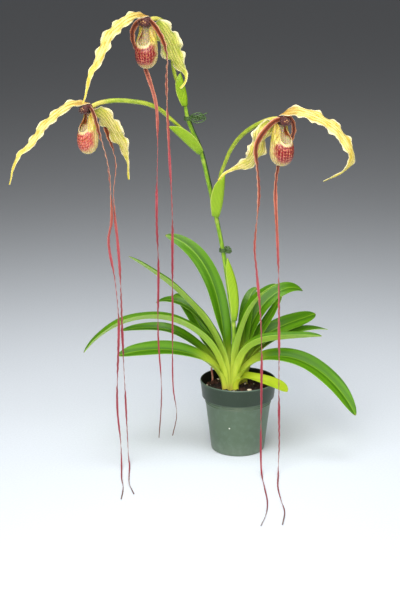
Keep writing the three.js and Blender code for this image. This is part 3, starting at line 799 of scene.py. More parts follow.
@dataclass(frozen=True)
class BractSkin(Finish):
    """Bract tissue, grown: thin, ribbed lengthwise, with a pale dry margin."""

    name: str = "bract_skin"
    roughness: float = 0.4
    coat: float = 0.08
    glow: float = 0.12
    relief_mm: float = 0.3
    green: str = "98BE16"
    deep: str = "689408"
    margin: str = "CFDA7C"
    rib_mm: float = 2.0
    streak_mm: float = 0.7

    def paint(self, draw: Pattern) -> Surface:
        """Ribs run from the foot to the tip, and the foot is deeper green.

        Args:
            draw: the patterns of the new material.

        Returns:
            What is painted.
        """
        streaks = draw.streaks(self.streak_mm, 20.0)
        ribs = draw.lines("across", self.rib_mm, streaks, 1.5)
        layers = [
            Layer(self.deep, ribs, 0.1, 1.0, 0.7),
            Layer(self.deep, draw.mark("share"), 0.16, 0.0, 0.7),
            Layer(self.margin, draw.mark("edge"), 0.9, 1.0, 0.6),
        ]
        return Surface(self.green, layers, streaks, ribs)


@dataclass(frozen=True)
class SepalTissue(Finish):
    """Sepal tissue, grown: thin and papery, netted with lengthwise veins, with a pale crisped margin."""

    name: str = "sepal_tissue"
    roughness: float = 0.5
    sheen: float = 0.1
    glow: float = 0.14
    relief_mm: float = 0.4
    relief_strength: float = 0.45
    ground: str = "EEE08A"
    shade: str = "D3B83C"
    foot: str = "B98434"
    vein: str = "A08A2C"
    tail: str = "DDD03E"
    margin: str = "F6EEC6"
    fleck: str = "8E5A2A"
    flecks: float = 0.25
    vein_mm: float = 3.8
    streak_mm: float = 1.6
    cloud_mm: float = 6.0
    fleck_mm: float = 1.6

    def paint(self, draw: Pattern) -> Surface:
        """Veins fade towards the tail, flecks keep to one side, and the margin is nearly white.

        Args:
            draw: the patterns of the new material.

        Returns:
            What is painted.
        """
        streaks, share = draw.streaks(self.streak_mm, 22.0), draw.mark("share")
        veins = draw.lines("across", self.vein_mm, streaks, 2.0)
        faded = draw.eased(share, 0.85, 0.1, low=0.25)
        band = draw.eased(draw.mark("edge"), 0.0, 0.75)
        layers = [
            Layer(self.shade, draw.streaks(self.cloud_mm, 3.2), 0.42, 0.62, 0.9),
            Layer(self.foot, share, 0.22, 0.02, 0.9),
            Layer(self.tail, share, 0.7, 0.95, 0.8),
            Layer(self.vein, veins, 0.3, 1.0, 0.85, faded),
            Layer(self.shade, streaks, 0.5, 0.7, 0.5),
            Layer(self.margin, draw.size("edge"), 0.7, 1.0, 0.85),
            Layer(self.fleck, draw.streaks(self.fleck_mm, 1.0), 0.56, 0.68, self.flecks, band),
        ]
        return Surface(self.ground, layers, streaks, veins)


@dataclass(frozen=True)
class PouchSkin(Finish):
    """Pouch tissue, grown: thick and glossy, crimson and striped in front, cream behind and inside, with
    painted shadow at the back of its mouth.
    """

    name: str = "pouch_skin"
    roughness: float = 0.34
    coat: float = 0.16
    glow: float = 0.5
    glow_depth: float = 2.5
    relief_mm: float = 0.3
    cream: str = "EAD694"
    neck: str = "CBBE52"
    crimson: str = "8F1A24"
    blush: str = "D07A62"
    streak: str = "E2AE80"
    vein: str = "6E121C"
    olive: str = "7C6420"
    inner: str = "FFF1C8"
    lobe: str = "A8581A"
    # near black: real dark stripes inside the lobes, and painted shadow at the back of the mouth under the
    # shield
    throat: str = "2A0F0A"
    rim: str = "ECD8A4"
    mottle_mm: float = 2.2
    drift_mm: float = 7.5
    stripe: float = 0.085
    arc: float = 0.11

    def paint(self, draw: Pattern) -> Surface:
        """Stripes fan down from the mouth, arcs cross the cheeks, the folded lobes are orange brown, and
        painted shadow darkens the back of the mouth.

        Args:
            draw: the patterns of the new material.

        Returns:
            What is painted.
        """
        mottle, drift = draw.blotches(self.mottle_mm), draw.blotches(self.drift_mm)
        level, inside, lobe = draw.mark("level"), draw.mark("inside"), draw.mark("lobe")
        stripes = draw.lines("around", self.stripe, drift, 5.0)
        arcs = draw.lines("height", self.arc, drift, 6.0)
        wander = add_node(draw.tree, Kind.SUM, MULTIPLY_ADD, {0: drift, 1: 0.3, 2: draw.size("around")})
        above_toe = draw.eased(draw.mark("height"), 0.04, 0.5)
        below_mouth = draw.eased(level, 1.16, 0.94)
        red = draw.product(draw.product(draw.eased(wander, 0.72, 0.42), above_toe), below_mouth)
        layers = [
            Layer(self.neck, level, 0.85, 1.25),
            Layer(self.olive, stripes, 0.2, 1.0, 0.6),
            Layer(self.crimson, red, 0.02, 0.9),
            Layer(self.blush, mottle, 0.5, 0.62, 0.8, red),
            Layer(self.streak, stripes, 0.2, 1.0, 0.42, red),
            Layer(self.vein, arcs, 0.4, 1.0, 0.75, red),
            Layer(self.lobe, lobe, 0.5, 1.0, 0.3),
            Layer(self.rim, draw.mark("lip"), 0.0, 1.0, 0.95),
            Layer(self.inner, inside, 0.0, 1.0),
            Layer(self.olive, stripes, 0.35, 1.0, 0.3, inside),
            Layer(self.lobe, lobe, 0.0, 0.4, 0.95, inside),
            # real dark stripes inside the lobes
            Layer(self.throat, stripes, 0.3, 0.9, 0.8, draw.product(lobe, inside)),
            # painted shadow: the back of the mouth, under the shield, darkened to near black
            Layer(self.throat, draw.mark("throat"), 0.0, 1.0),
        ]
        return Surface(self.cream, layers, mottle, stripes)


@dataclass(frozen=True)
class RibbonPetal(Finish):
    """Petal tissue drawn out to a ribbon, grown: orange brown at its foot, then salmon, then crimson."""

    name: str = "ribbon_petal"
    roughness: float = 0.46
    sheen: float = 0.12
    glow: float = 0.1
    relief_mm: float = 0.3
    relief_strength: float = 0.4
    foot: str = "A8561E"
    stripe: str = "5A1812"
    margin: str = "E4B49A"
    bands: tuple[tuple[float, float, str], ...] = (
        (0.07, 0.17, "BE6650"), (0.2, 0.34, "B04A54"), (0.38, 0.6, "94283E"), (0.85, 1.0, "5F3A38"))
    streak_mm: float = 1.1

    def paint(self, draw: Pattern) -> Surface:
        """A dark stripe runs down the young middle, the margins are pale, and the tip browns.

        Args:
            draw: the patterns of the new material.

        Returns:
            What is painted.
        """
        streaks, share = draw.streaks(self.streak_mm, 12.0), draw.mark("share")
        early = draw.eased(share, 0.36, 0.06, low=0.15)
        layers = [Layer(colour, share, start, end) for start, end, colour in self.bands]
        layers += [
            Layer(self.stripe, streaks, 0.48, 0.72, 0.5),
            Layer(self.stripe, draw.size("edge"), 0.6, 0.2, 0.9, early),
            Layer(self.margin, draw.size("edge"), 0.6, 1.0, 0.8, early),
        ]
        return Surface(self.foot, layers, streaks, streaks)


@dataclass(frozen=True)
class VelvetShield(Finish):
    """The column and its shield, grown: dark maroon velvet of fine hairs with cream marks."""

    name: str = "velvet_shield"
    roughness: float = 0.6
    uneven: float = 0.2
    sheen: float = 0.4
    relief_mm: float = 0.3
    relief_strength: float = 0.6
    maroon: str = "431014"
    brown: str = "6B2A1C"
    heart: str = "DDA86A"
    nap_mm: float = 0.5

    def paint(self, draw: Pattern) -> Surface:
        """The nap breaks the light, and the heart marks show cream orange.

        Args:
            draw: the patterns of the new material.

        Returns:
            What is painted.
        """
        nap = draw.blotches(self.nap_mm)
        layers = [Layer(self.brown, nap, 0.3, 0.8), Layer(self.heart, draw.mark("heart"), 0.2, 0.8)]
        return Surface(self.maroon, layers, nap, nap)


@dataclass(frozen=True)
class CoatedWire(Finish):
    """Steel wire dipped in green PVC: a slightly rippled satin coat that scuffs paler."""

    name: str = "coated_wire"
    roughness: float = 0.42
    ior: float = 1.52
    relief_strength: float = 0.25
    green: str = "2C4A22"
    worn: str = "5D7A48"
    ripple_mm: float = 1.8

    def paint(self, draw: Pattern) -> Surface:
        """Dark green with paler rubbed patches."""
        ripple = draw.blotches(self.ripple_mm)
        return Surface(self.green, [Layer(self.worn, ripple, 0.55, 0.75, 0.6)], ripple, ripple)


@dataclass(frozen=True)
class DryFibre(Finish):
    """Dead stem and rhizome, weathered: dull, split lengthwise, tan with grey and pink patches."""

    name: str = "dry_fibre"
    roughness: float = 0.8
    relief_mm: float = 0.4
    relief_strength: float = 0.6
    tan: str = "CBA38A"
    pink: str = "B9706A"
    dark: str = "6E4C36"
    fibre_mm: float = 0.7
    patch_mm: float = 4.0

    def paint(self, draw: Pattern) -> Surface:
        """Patches of tan and pink with dark splits.

        Args:
            draw: the patterns of the new material.

        Returns:
            What is painted.
        """
        fibre = draw.blotches(self.fibre_mm, (1.0, 1.0, 0.15))
        layers = [
            Layer(self.pink, draw.blotches(self.patch_mm), 0.35, 0.65),
            Layer(self.dark, fibre, 0.48, 0.3, 0.8),
        ]
        return Surface(self.tan, layers, fibre, fibre)


@dataclass(frozen=True)
class StudioPaper(Finish):
    """Matt paper floor of the studio, plain and pale."""

    name: str = "studio_paper"
    roughness: float = 0.9
    uneven: float = 0.02
    relief_mm: float = 0.1
    relief_strength: float = 0.02
    paper: str = "E2EBF5"
    shade: str = "D7E0EA"
    tooth_mm: float = 3.0

    def paint(self, draw: Pattern) -> Surface:
        """One pale colour with a barely seen tooth."""
        tooth = draw.blotches(self.tooth_mm)
        return Surface(self.paper, [Layer(self.shade, tooth, 0.4, 0.6, 0.3)], tooth, tooth)


@dataclass
class Pot:
    """The moulded nursery pot, in millimetres: a tapered tub with a deep flared band and drain holes.

    beads are the moulded lines under the band: each point's depth below the band and its step outwards.
    lip is the outer edge of the rim: each point's step inwards and its depth below the top.
    foot_cut, floor_cut and inner_lip are corners that are cut off, inwards and then up or down.
    inner_step is how far above and below the band's foot the wall steps out inside.
    """

    rim: float = 57.0
    band: float = 54.0
    body: float = 49.6
    base: float = 40.0
    height: float = 110.0
    band_height: float = 27.0
    wall: float = 1.5
    floor: float = 2.4
    drain: float = 2.7
    drain_circle: float = 28.0
    drains: int = 6
    sides: int = 144
    fillet: float = 0.7
    axis_gap: float = 0.02
    sole: float = 6.0
    foot_cut: tuple[float, float] = (1.6, 1.8)
    floor_cut: tuple[float, float] = (4.0, 1.5)
    inner_lip: tuple[float, float] = (0.3, 0.6)
    inner_step: tuple[float, float] = (2.4, 1.0)
    band_cut: float = 0.8
    band_hollow: float = 0.4
    worn_down: float = 3.0
    worn_in: float = 2.5
    beads: tuple[tuple[float, float], ...] = (
        (8.2, -0.75), (7.6, 0.1), (6.9, 0.1), (6.2, -0.5), (5.0, -0.5), (4.4, 0.4), (3.6, 0.3), (2.9, -0.2))
    lip: tuple[tuple[float, float], ...] = ((0.5, 3.6), (0.0, 2.4), (0.2, 0.7), (1.0, 0.0))
    crease: float = 42.0

    def outline(self) -> Array:
        """The section, from the middle of the underside round to the middle of the inner floor.

        Returns:
            Its points, each a radius and a height.
        """
        foot = self.height - self.band_height
        middle = foot + self.band_height / 2.0
        (foot_in, foot_up), (floor_in, floor_up) = self.foot_cut, self.floor_cut
        (lip_in, lip_down), (step_up, step_down) = self.inner_lip, self.inner_step
        corners = np.array([
            [self.axis_gap, 0.0], [self.base - self.sole, 0.0], [self.base - foot_in, 0.0],
            [self.base, foot_up], [mix(self.base, self.body, 0.5), foot * 0.5],
            *([self.body + outward, foot - depth] for depth, outward in self.beads),
            [self.body, foot], [self.band, foot + self.band_cut],
            [mix(self.band, self.rim - self.band_hollow, 0.5), middle],
            *([self.rim - inward, self.height - depth] for inward, depth in self.lip),
            [self.rim - self.wall - lip_in, self.height - lip_down],
            [self.band - self.wall, foot + step_up], [self.body - self.wall, foot - step_down],
            [self.base - self.wall, self.floor + floor_up],
            [self.base - floor_in, self.floor], [self.axis_gap, self.floor],
        ])
        rounded = [corners[0]]
        for before, corner, after in zip(corners, corners[1:], corners[2:]):
            sides = (before - corner, after - corner)
            first, last = (corner + unit(s) * min(self.fillet, 0.42 * np.linalg.norm(s)) for s in sides)
            rounded += [mix(mix(first, corner, t), mix(corner, last, t), t) for t in (0.0, 0.33, 0.67, 1.0)]
        return np.array([*rounded, corners[-1]])

    def build(self) -> None:
        """Turns the section, bores the drain holes and dresses the pot."""
        radius, height = self.outline().T
        foot = self.height - self.band_height
        inner = np.arange(len(height)) > int(np.argmax(height)) + 3
        marks = {
            "edge": smooth((height - self.height + self.worn_down) / self.worn_down)
            * (radius > self.rim - self.worn_in),
            "height": height,
            "band": smooth((height - foot + 0.4) / 1.0),
            "inner": inner * 1.0,
        }
        shell = loft("pot_shell", [level_rings(radius, height, self.sides)], [marks])
        bores = []
        for x, y, _ in level_rings(self.drain_circle, 0.0, self.drains):
            bore = Track.along([(x, y, -2.0), (x, y, self.floor + 2.0)], 2, (1.0, 0.0, 0.0))
            bores.append(bore.tube(np.full(2, self.drain), 24))
        cutter = loft("drain_bores", bores, [{}] * self.drains)
        cut = shell.modifiers.new("drains", "BOOLEAN")
        cut.object, cut.operation, cut.solver = cutter, "DIFFERENCE", "EXACT"
        graph = bpy.context.evaluated_depsgraph_get()
        bored = bpy.data.meshes.new_from_object(shell.evaluated_get(graph))
        shell.modifiers.clear()
        shell.data = bored
        bpy.data.objects.remove(cutter)
        shell.data.set_sharp_from_angle(angle=math.radians(self.crease))
        dress(shell, MouldedPolypropylene().make(), Slot.POT, "pot")


@dataclass(frozen=True)
class Growth:
    """One fan's place on the rhizome, and the core and gap that its leaves clasp, in millimetres."""

    x: float
    y: float
    core: float
    gap: float


FRONT = Growth(-12.5, -4.0, 3.2, 3.3)
BACK = Growth(1.0, 22.0, 3.2, 2.4)


@dataclass
class PottingMix:
    """Bark mix that fills the pot, with loose chips on top, in millimetres.

    No chip lies within crown_clear times crown_half of a fan. chip_profile is a chip's rings, each with its
    level and its share of the breadth. The jitters are how unevenly its corners are set round it, in
    and out, and up and down. chip_tip and chip_lean are how far it lies askew, in radians.
    """

    top: float = 96.0
    bump: float = 1.7
    radius: float = 52.9
    step_radius: float = 47.3
    step_height: float = 81.0
    shoulder_height: float = 88.0
    foot_radius: float = 35.5
    floor: float = 2.7
    rings: int = 40
    sides: int = 120
    chips: int = 420
    seed: int = 11
    crown_half: tuple[float, float] = (15.0, 12.5)
    crown_clear: float = 0.8
    chip_length: tuple[float, float] = (4.0, 11.5)
    chip_slimness: tuple[float, float] = (0.45, 0.8)
    chip_height: tuple[float, float] = (1.8, 4.2)
    chip_corners: int = 10
    chip_profile: tuple[tuple[float, float], ...] = (
        (-1.0, 0.6), (-0.75, 0.93), (0.0, 1.0), (0.7, 0.92), (1.0, 0.62))
    turn_jitter: float = 0.2
    reach_jitter: tuple[float, float] = (0.86, 1.12)
    level_jitter: float = 0.16
    chip_tip: float = 0.34
    chip_lean: float = 0.3
    chip_rise: float = 0.42
    bleach: tuple[float, float] = (0.6, 0.95)
    unbleached: float = 0.95
    crease: float = 38.0

    def surface(self, x: Array, y: Array) -> Array:
        """How high the mix is at a place.

        Args:
            x: the place to the right.
            y: the place further back.

        Returns:
            The height there.
        """
        lump = np.sin(x * 0.33 + 1.0) * np.cos(y * 0.29) + 0.5 * np.sin(x * 0.71 - y * 0.53)
        crumbs = 0.5 * np.sin(x * 1.9 + 2.0 * np.sin(y * 0.8)) * np.cos(y * 1.7 + np.sin(x * 1.1))
        return self.top + self.bump * lump + crumbs - 1.0

    def bed(self, bark: Material) -> None:
        """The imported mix, as one lumpy body.

        Args:
            bark: the bark finish.
        """
        radii = [0.5, self.foot_radius, self.step_radius, self.radius - 0.8]
        heights = [self.floor, self.floor, self.step_height, self.shoulder_height]
        top = level_rings(self.radius * np.linspace(1.0, 0.01, self.rings), 0.0, self.sides)
        top[..., 2] = self.surface(top[..., 0], top[..., 1])
        grid = np.concatenate([level_rings(radii, heights, self.sides), top])
        tint = 0.35 + 0.3 * np.sin(grid[..., 0] * 0.9) * np.cos(grid[..., 1] * 1.1)
        bed = loft("mix_bed", [grid], [{"tint": tint, "pale": np.zeros(len(grid))}])
        dress(bed, bark, Slot.MIX, "potting_mix")

    def chip(self, draw: np.random.Generator, centre: Array, size: Array) -> Array:
        """One blocky chip.

        Args:
            draw: the seeded source of chance.
            centre: its middle.
            size: its length, breadth and height.

        Returns:
            The grid of its rings.
        """
        count = self.chip_corners
        turn = circle(count) + draw.uniform(-self.turn_jitter, self.turn_jitter, count)
        block = 1.0 / np.maximum(np.abs(np.cos(turn)), np.abs(np.sin(turn)))
        rows = []
        for level, shrink in self.chip_profile:
            reach = block**0.7 * shrink * draw.uniform(*self.reach_jitter, count)
            x, y = 0.5 * size[0] * reach * np.cos(turn), 0.5 * size[1] * reach * np.sin(turn)
            z = 0.5 * size[2] * (level + draw.uniform(-self.level_jitter, self.level_jitter, count))
            rows.append(np.stack([x, y, z], axis=-1))
        spin = Matrix.Rotation(draw.uniform(0.0, TAU), 3, "Z")
        tip = Matrix.Rotation(draw.normal(0.0, self.chip_tip), 3, "X")
        lean = Matrix.Rotation(draw.normal(0.0, self.chip_lean), 3, "Y")
        return np.stack(rows) @ np.array(spin @ tip @ lean).T + centre

    def loose_chips(self, bark: Material) -> None:
        """The chips that lie on top, clear of the crowns.

        Args:
            bark: the bark finish.
        """
        draw = np.random.default_rng(self.seed)
        grids, marks = [], []
        half_x, half_y = self.crown_half
        while len(grids) < self.chips:
            length = draw.uniform(*self.chip_length)
            breadth = length * draw.uniform(*self.chip_slimness)
            size = np.array([length, breadth, draw.uniform(*self.chip_height)])
            away = (self.radius - 0.62 * length) * math.sqrt(draw.uniform(0.0, 1.0))
            turn = draw.uniform(0.0, TAU)
            x, y = away * math.cos(turn), away * math.sin(turn)
            steps = [math.hypot((x - fan.x) / half_x, (y - fan.y) / half_y) for fan in (FRONT, BACK)]
            if min(steps) < self.crown_clear:
                continue
            rise = size[2] * draw.uniform(0.0, self.chip_rise)
            z = float(self.surface(np.array(x), np.array(y))) + rise
            grids.append(self.chip(draw, np.array([x, y, z]), size))
            bleached = draw.uniform(0.0, 1.0) > self.unbleached
            tint = draw.uniform(0.0, 1.0) ** 1.6
            marks.append({"tint": tint, "pale": draw.uniform(*self.bleach) * bleached})
        loose = loft("loose_bark_chips", grids, marks)
        loose.data.set_sharp_from_angle(angle=math.radians(self.crease))
        dress(loose, bark, Slot.MIX)

    def build(self) -> None:
        """Makes the bed and its chips."""
        bark = FirBark().make()
        self.bed(bark)
        self.loose_chips(bark)


@dataclass
class FoldedBlade:
    """The cross sections of a keeled blade, which may be folded shut round what stands inside it.

    At each station, the strip beside the midrib rises by one angle and the rest of the half by another,
    in radians, and the margin drops by the arch. The keel thickens the midrib from below.
    """

    strip: Array
    strip_rise: Array
    halves: tuple[Array, Array]
    half_rise: Array
    thickness: Array
    keel: Array
    arch: Array
    samples: int = 12
    keel_half: float = 1.5

    def half(self, breadth: Array) -> tuple[Array, Array, Array, Array]:
        """One half's line, from the midrib to the margin.

        Args:
            breadth: the half's breadth at each station.

        Returns:
            Distance out, rise, slope and length along the section, a row for each station.
        """
        q = np.linspace(0.0, 1.0, self.samples + 1)[None, :]
        full = breadth[:, None]
        reach = q * full
        inner = np.minimum(self.strip[:, None], full * 0.6)
        ease = np.minimum(np.minimum(inner, full - inner), 4.0) * 0.6 + 1e-6
        bend = smooth((reach - inner + ease) / (2.0 * ease))
        slope = mix(self.strip_rise[:, None], self.half_rise[:, None], bend)
        slope = slope * smooth(reach / 2.0 + 0.15) - self.arch[:, None] * q**2
        step = full / self.samples
        middle = 0.5 * (slope[:, 1:] + slope[:, :-1])
        zero = np.zeros((len(breadth), 1))
        out = np.concatenate([zero, np.cumsum(np.cos(middle) * step, axis=1)], axis=1)
        rise = np.concatenate([zero, np.cumsum(np.sin(middle) * step, axis=1)], axis=1)
        return out, rise, slope, reach

    def grid(self, track: Track, ripple: Array) -> Shape:
        """The blade's rings.

        Args:
            track: the midrib.
            ripple: how far the margin lifts at each station.

        Returns:
            The grid, and its marks: across, edge and under.
        """
        rows: dict[str, list[Array]] = {"upper": [], "lower": [], "across": [], "edge": []}
        for sign, breadth in ((-1, self.halves[0]), (1, self.halves[1])):
            out, rise, slope, reach = self.half(breadth)
            q = reach / breadth[:, None]
            rise = rise + ripple[:, None] * q**3
            depth = self.thickness[:, None] * (1.0 - 0.45 * q**2)
            depth = depth + self.keel[:, None] * np.exp(-((reach / self.keel_half) ** 2))
            under = track.place(sign * (out + np.sin(slope) * depth), rise - np.cos(slope) * depth)
            line = slice(None, None, -1) if sign < 0 else slice(1, None)
            for key, row in zip(rows, (track.place(sign * out, rise), under, sign * reach, q)):
                rows[key].append(row[:, line])
        whole = {key: np.concatenate(row, axis=1) for key, row in rows.items()}
        marks = {
            key: np.concatenate([whole[key], whole[key][:, ::-1]], axis=1) for key in ("across", "edge")
        }
        face = np.zeros_like(whole["edge"])
        marks["under"] = np.concatenate([face, face + 1.0], axis=1)
        return np.concatenate([whole["upper"], whole["lower"][:, ::-1]], axis=1), marks


# The number of a fan's outermost leaf. The innermost one is 0.
OUTERMOST = 7


@dataclass
class Leaf:
    """A strap leaf. Lengths are in millimetres and angles in degrees.

    It leaves its foot at lift and ends lower by droop. bend and knee set how late it arches, and swing how
    far it veers. half is half its breadth, fold how far its halves rise and turn how far it rolls over.
    """

    name: str
    growth: Growth
    layer: int
    rank: Rank
    length: float
    clasp: float
    lift: float
    droop: float
    bend: float
    knee: float
    swing: float
    half: float
    fold: float
    turn: float
    warmth: float = 0.0
    foot_height: float = 93.7
    layer_step: float = 1.35
    layer_gap: float = 1.1
    wing: float = 7.0
    sheath_bend: float = 5.0
    thickness: float = 0.7
    keel: float = 0.5
    closed: float = 4.0
    closed_step: float = 2.6
    opens_over: float = 36.0
    sheath_rise: float = 88.0
    arch: float = 9.0
    tip_start: float = 0.6
    tip_roundness: float = 0.62
    pale_to: float = 22.0
    pale_fades: float = 75.0
    ripple: float = 0.45
    ripple_mm: float = 11.0
    steps: int = 120

    def midrib(self) -> Track:
        """The line of the midrib, summed in short steps from the foot.

        Returns:
            The stations along it.
        """
        i = np.arange(self.steps + 1) / self.steps
        share = i**1.35 * 0.62 + 0.38 * (1.0 - (1.0 - i) ** 1.5)
        knee = self.knee**self.bend
        bent = share**self.bend * (1.0 + knee) / (share**self.bend + knee)
        settle = (90.0 - self.lift) * np.exp(-share * self.length / self.sheath_bend)
        rise = np.radians(self.lift - self.droop * bent + settle)
        bearing = np.radians((180.0 if self.rank is Rank.LEFT else 0.0) + self.swing * share)
        flat = np.stack([np.cos(bearing), np.sin(bearing), np.zeros_like(rise)], axis=-1)
        side = np.stack([-flat[:, 1], flat[:, 0], flat[:, 2]], axis=-1)
        ahead = flat * np.cos(rise)[:, None] + np.outer(np.sin(rise), [0.0, 0.0, 1.0])
        steps = np.diff(share, prepend=0.0)[:, None] * self.length
        out = self.rank.value * (self.growth.core + self.layer_step * self.layer)
        foot = np.array([self.growth.x + out, self.growth.y, self.foot_height])
        return Track(share, foot + np.cumsum(ahead * steps, axis=0), ahead, side, self.length)

    def build(self, skin: Material) -> None:
        """Lofts the blade, closed at its foot and opened above, and dresses it.

        Args:
            skin: the leaf finish.
        """
        flat = self.midrib()
        share, run = flat.share, flat.run
        gap = self.growth.gap + self.layer_gap * self.layer
        closed = self.closed + self.closed_step * (OUTERMOST - self.layer) + self.clasp
        opening = smooth((run - closed) / self.opens_over)
        track = flat.rolled(self.rank.value * self.turn * smooth((share - 0.06) / 0.5))
        belly = self.half * (0.82 + 0.18 * smooth(share / 0.4))
        tip = blunt_tip(share, self.tip_start, self.tip_roundness)
        width = np.maximum(0.8, mix(gap + self.wing, belly, opening) * tip)
        opened = np.radians(self.fold * (1.0 - 0.5 * share))
        blade = FoldedBlade(
            strip=mix(gap, width / 2.0, opening),
            strip_rise=mix(0.0, opened, opening),
            halves=(width, width),
            half_rise=mix(math.radians(self.sheath_rise), opened, opening),
            thickness=np.full_like(share, self.thickness),
            keel=self.keel * opening * tip,
            arch=math.radians(self.arch) * opening,
        )
        wave = self.ripple * opening * np.sin(run / self.ripple_mm + 1.7 * self.layer)
        wave = wave * smooth((1.0 - share) / 0.15)
        grid, marks = blade.grid(track, wave)
        marks |= {"share": share, "run": run, "warmth": np.full_like(share, self.warmth)}
        marks["foot"] = 0.95 * (1.0 - smooth((run - self.pale_to) / self.pale_fades))
        dress(loft("blade_" + self.name, [grid], [marks]), skin, Slot.LEAF, "leaf_" + self.name)


@dataclass
class LeafFans:
    """The two fans of strap leaves, innermost leaf first in each."""

    leaves: list[Leaf] = field(default_factory=lambda: [
        Leaf("front_left_1", FRONT, 0, Rank.LEFT, 271, 18, 85.5, 77, 3.4, 2.7, -14, 14, 40, 60),
        Leaf("front_right_1", FRONT, 1, Rank.RIGHT, 183, 4, 83.5, 56, 3, 2.1, 3, 15, 58, 0),
        Leaf("front_left_2", FRONT, 2, Rank.LEFT, 264, 5, 93.5, 61.5, 1.2, 0.65, 2, 17, 41, -9),
        Leaf("front_right_2", FRONT, 3, Rank.RIGHT, 180, 0, 76.5, 70.5, 6, 0.4, -10, 16, 58, -6),
        Leaf("front_left_3", FRONT, 4, Rank.LEFT, 291, 0, 88.5, 139.5, 1.2, 2.5, 13, 16.5, 46, -8),
        Leaf("front_right_3", FRONT, 5, Rank.RIGHT, 242, 0, 81.5, 140.5, 1.33, 0.53, -26, 16, 26, 28),
        Leaf("front_left_4", FRONT, 6, Rank.LEFT, 194, 0, 96, 102.5, 1.1, 0.35, 26, 15, 36, 28),
        Leaf("front_right_4", FRONT, 7, Rank.RIGHT, 108, 0, 90, 93, 3.4, 0.15, -70, 10, 34, 22, 0.7),
        Leaf("back_right_1", BACK, 0, Rank.RIGHT, 156, 2, 86, 79, 10, 1.6, 41, 11, 29, 37),
        Leaf("back_left_1", BACK, 1, Rank.LEFT, 198, -9, 65.5, 97, 3.9, 1.15, -27, 12, 34, 15),
        Leaf("back_right_2", BACK, 2, Rank.RIGHT, 208, 3, 86.5, 123, 2.5, 3.8, 36, 13, 28, 34),
        Leaf("back_left_2", BACK, 3, Rank.LEFT, 172, 0, 57, 70, 8, 3.3, -48, 11.5, 24, 29),
        Leaf("back_right_3", BACK, 4, Rank.RIGHT, 152, 9, 93, 33, 4, 0.24, 0, 10, 18, 30),
        Leaf("back_left_3", BACK, 5, Rank.LEFT, 206, 0, 47, 62, 5, 0.64, -14, 12, 32, 16),
        Leaf("back_right_4", BACK, 6, Rank.RIGHT, 190, -2, 87.5, 88.5, 3.2, 0.39, 52, 14, 26, 35),
        Leaf("back_right_5", BACK, 7, Rank.RIGHT, 188, -1, 91, 106.5, 1.55, 0.47, 45, 14, 35, 0),
    ])

    def build(self) -> None:
        """Builds every leaf with one skin, and gives the rhizome its bark."""
        skin = WaxyLeaf().make()
        for leaf in self.leaves:
            leaf.build(skin)
        bark = DryFibre(name="rhizome_bark", tan="7A5E38", pink="5C4A2C", dark="33261A").make()
        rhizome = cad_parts["rhizome"]
        rhizome.data.materials.clear()
        rhizome.data.materials.append(bark)


@dataclass
class Bract:
    """A boat-shaped bract, in millimetres. The keel is its fold."""

    name: str
    gap: float
    keel: Route
    lateral: Point
    halves: tuple[float, float]
    fold: float
    thickness: float = 0.7
    ridge: float = 0.3
    seat_rise: float = 12.0
    tip_start: float = 0.72
    tip_roundness: float = 0.7
    stations: int = 70
    samples: int = 14

    def build(self, skin: Material) -> None:
        """Lofts the bract round what it clasps.

        Args:
            skin: the bract finish.
        """
        track = Track.along(self.keel, self.stations, self.lateral)
        share = track.share
        swell = 0.42 + 0.58 * np.sin(math.pi * np.minimum(1.0, share * 0.86 + 0.1)) ** 0.8
        tip = blunt_tip(share, self.tip_start, self.tip_roundness)
        blade = FoldedBlade(
            strip=self.gap * np.maximum(0.2, tip),
            strip_rise=np.full_like(share, math.radians(self.seat_rise)),
            halves=tuple(np.maximum(0.9, (self.gap + h) * swell * tip) for h in self.halves),
            half_rise=np.full_like(share, math.radians(self.fold)),
            thickness=np.full_like(share, self.thickness),
            keel=self.ridge * tip,
            arch=np.zeros_like(share),
            samples=self.samples,
        )
        grid, marks = blade.grid(track, np.zeros_like(share))
        marks |= {"share": share, "run": track.run}
        dress(loft("tissue_" + self.name, [grid], [marks]), skin, Slot.BRACT, self.name)


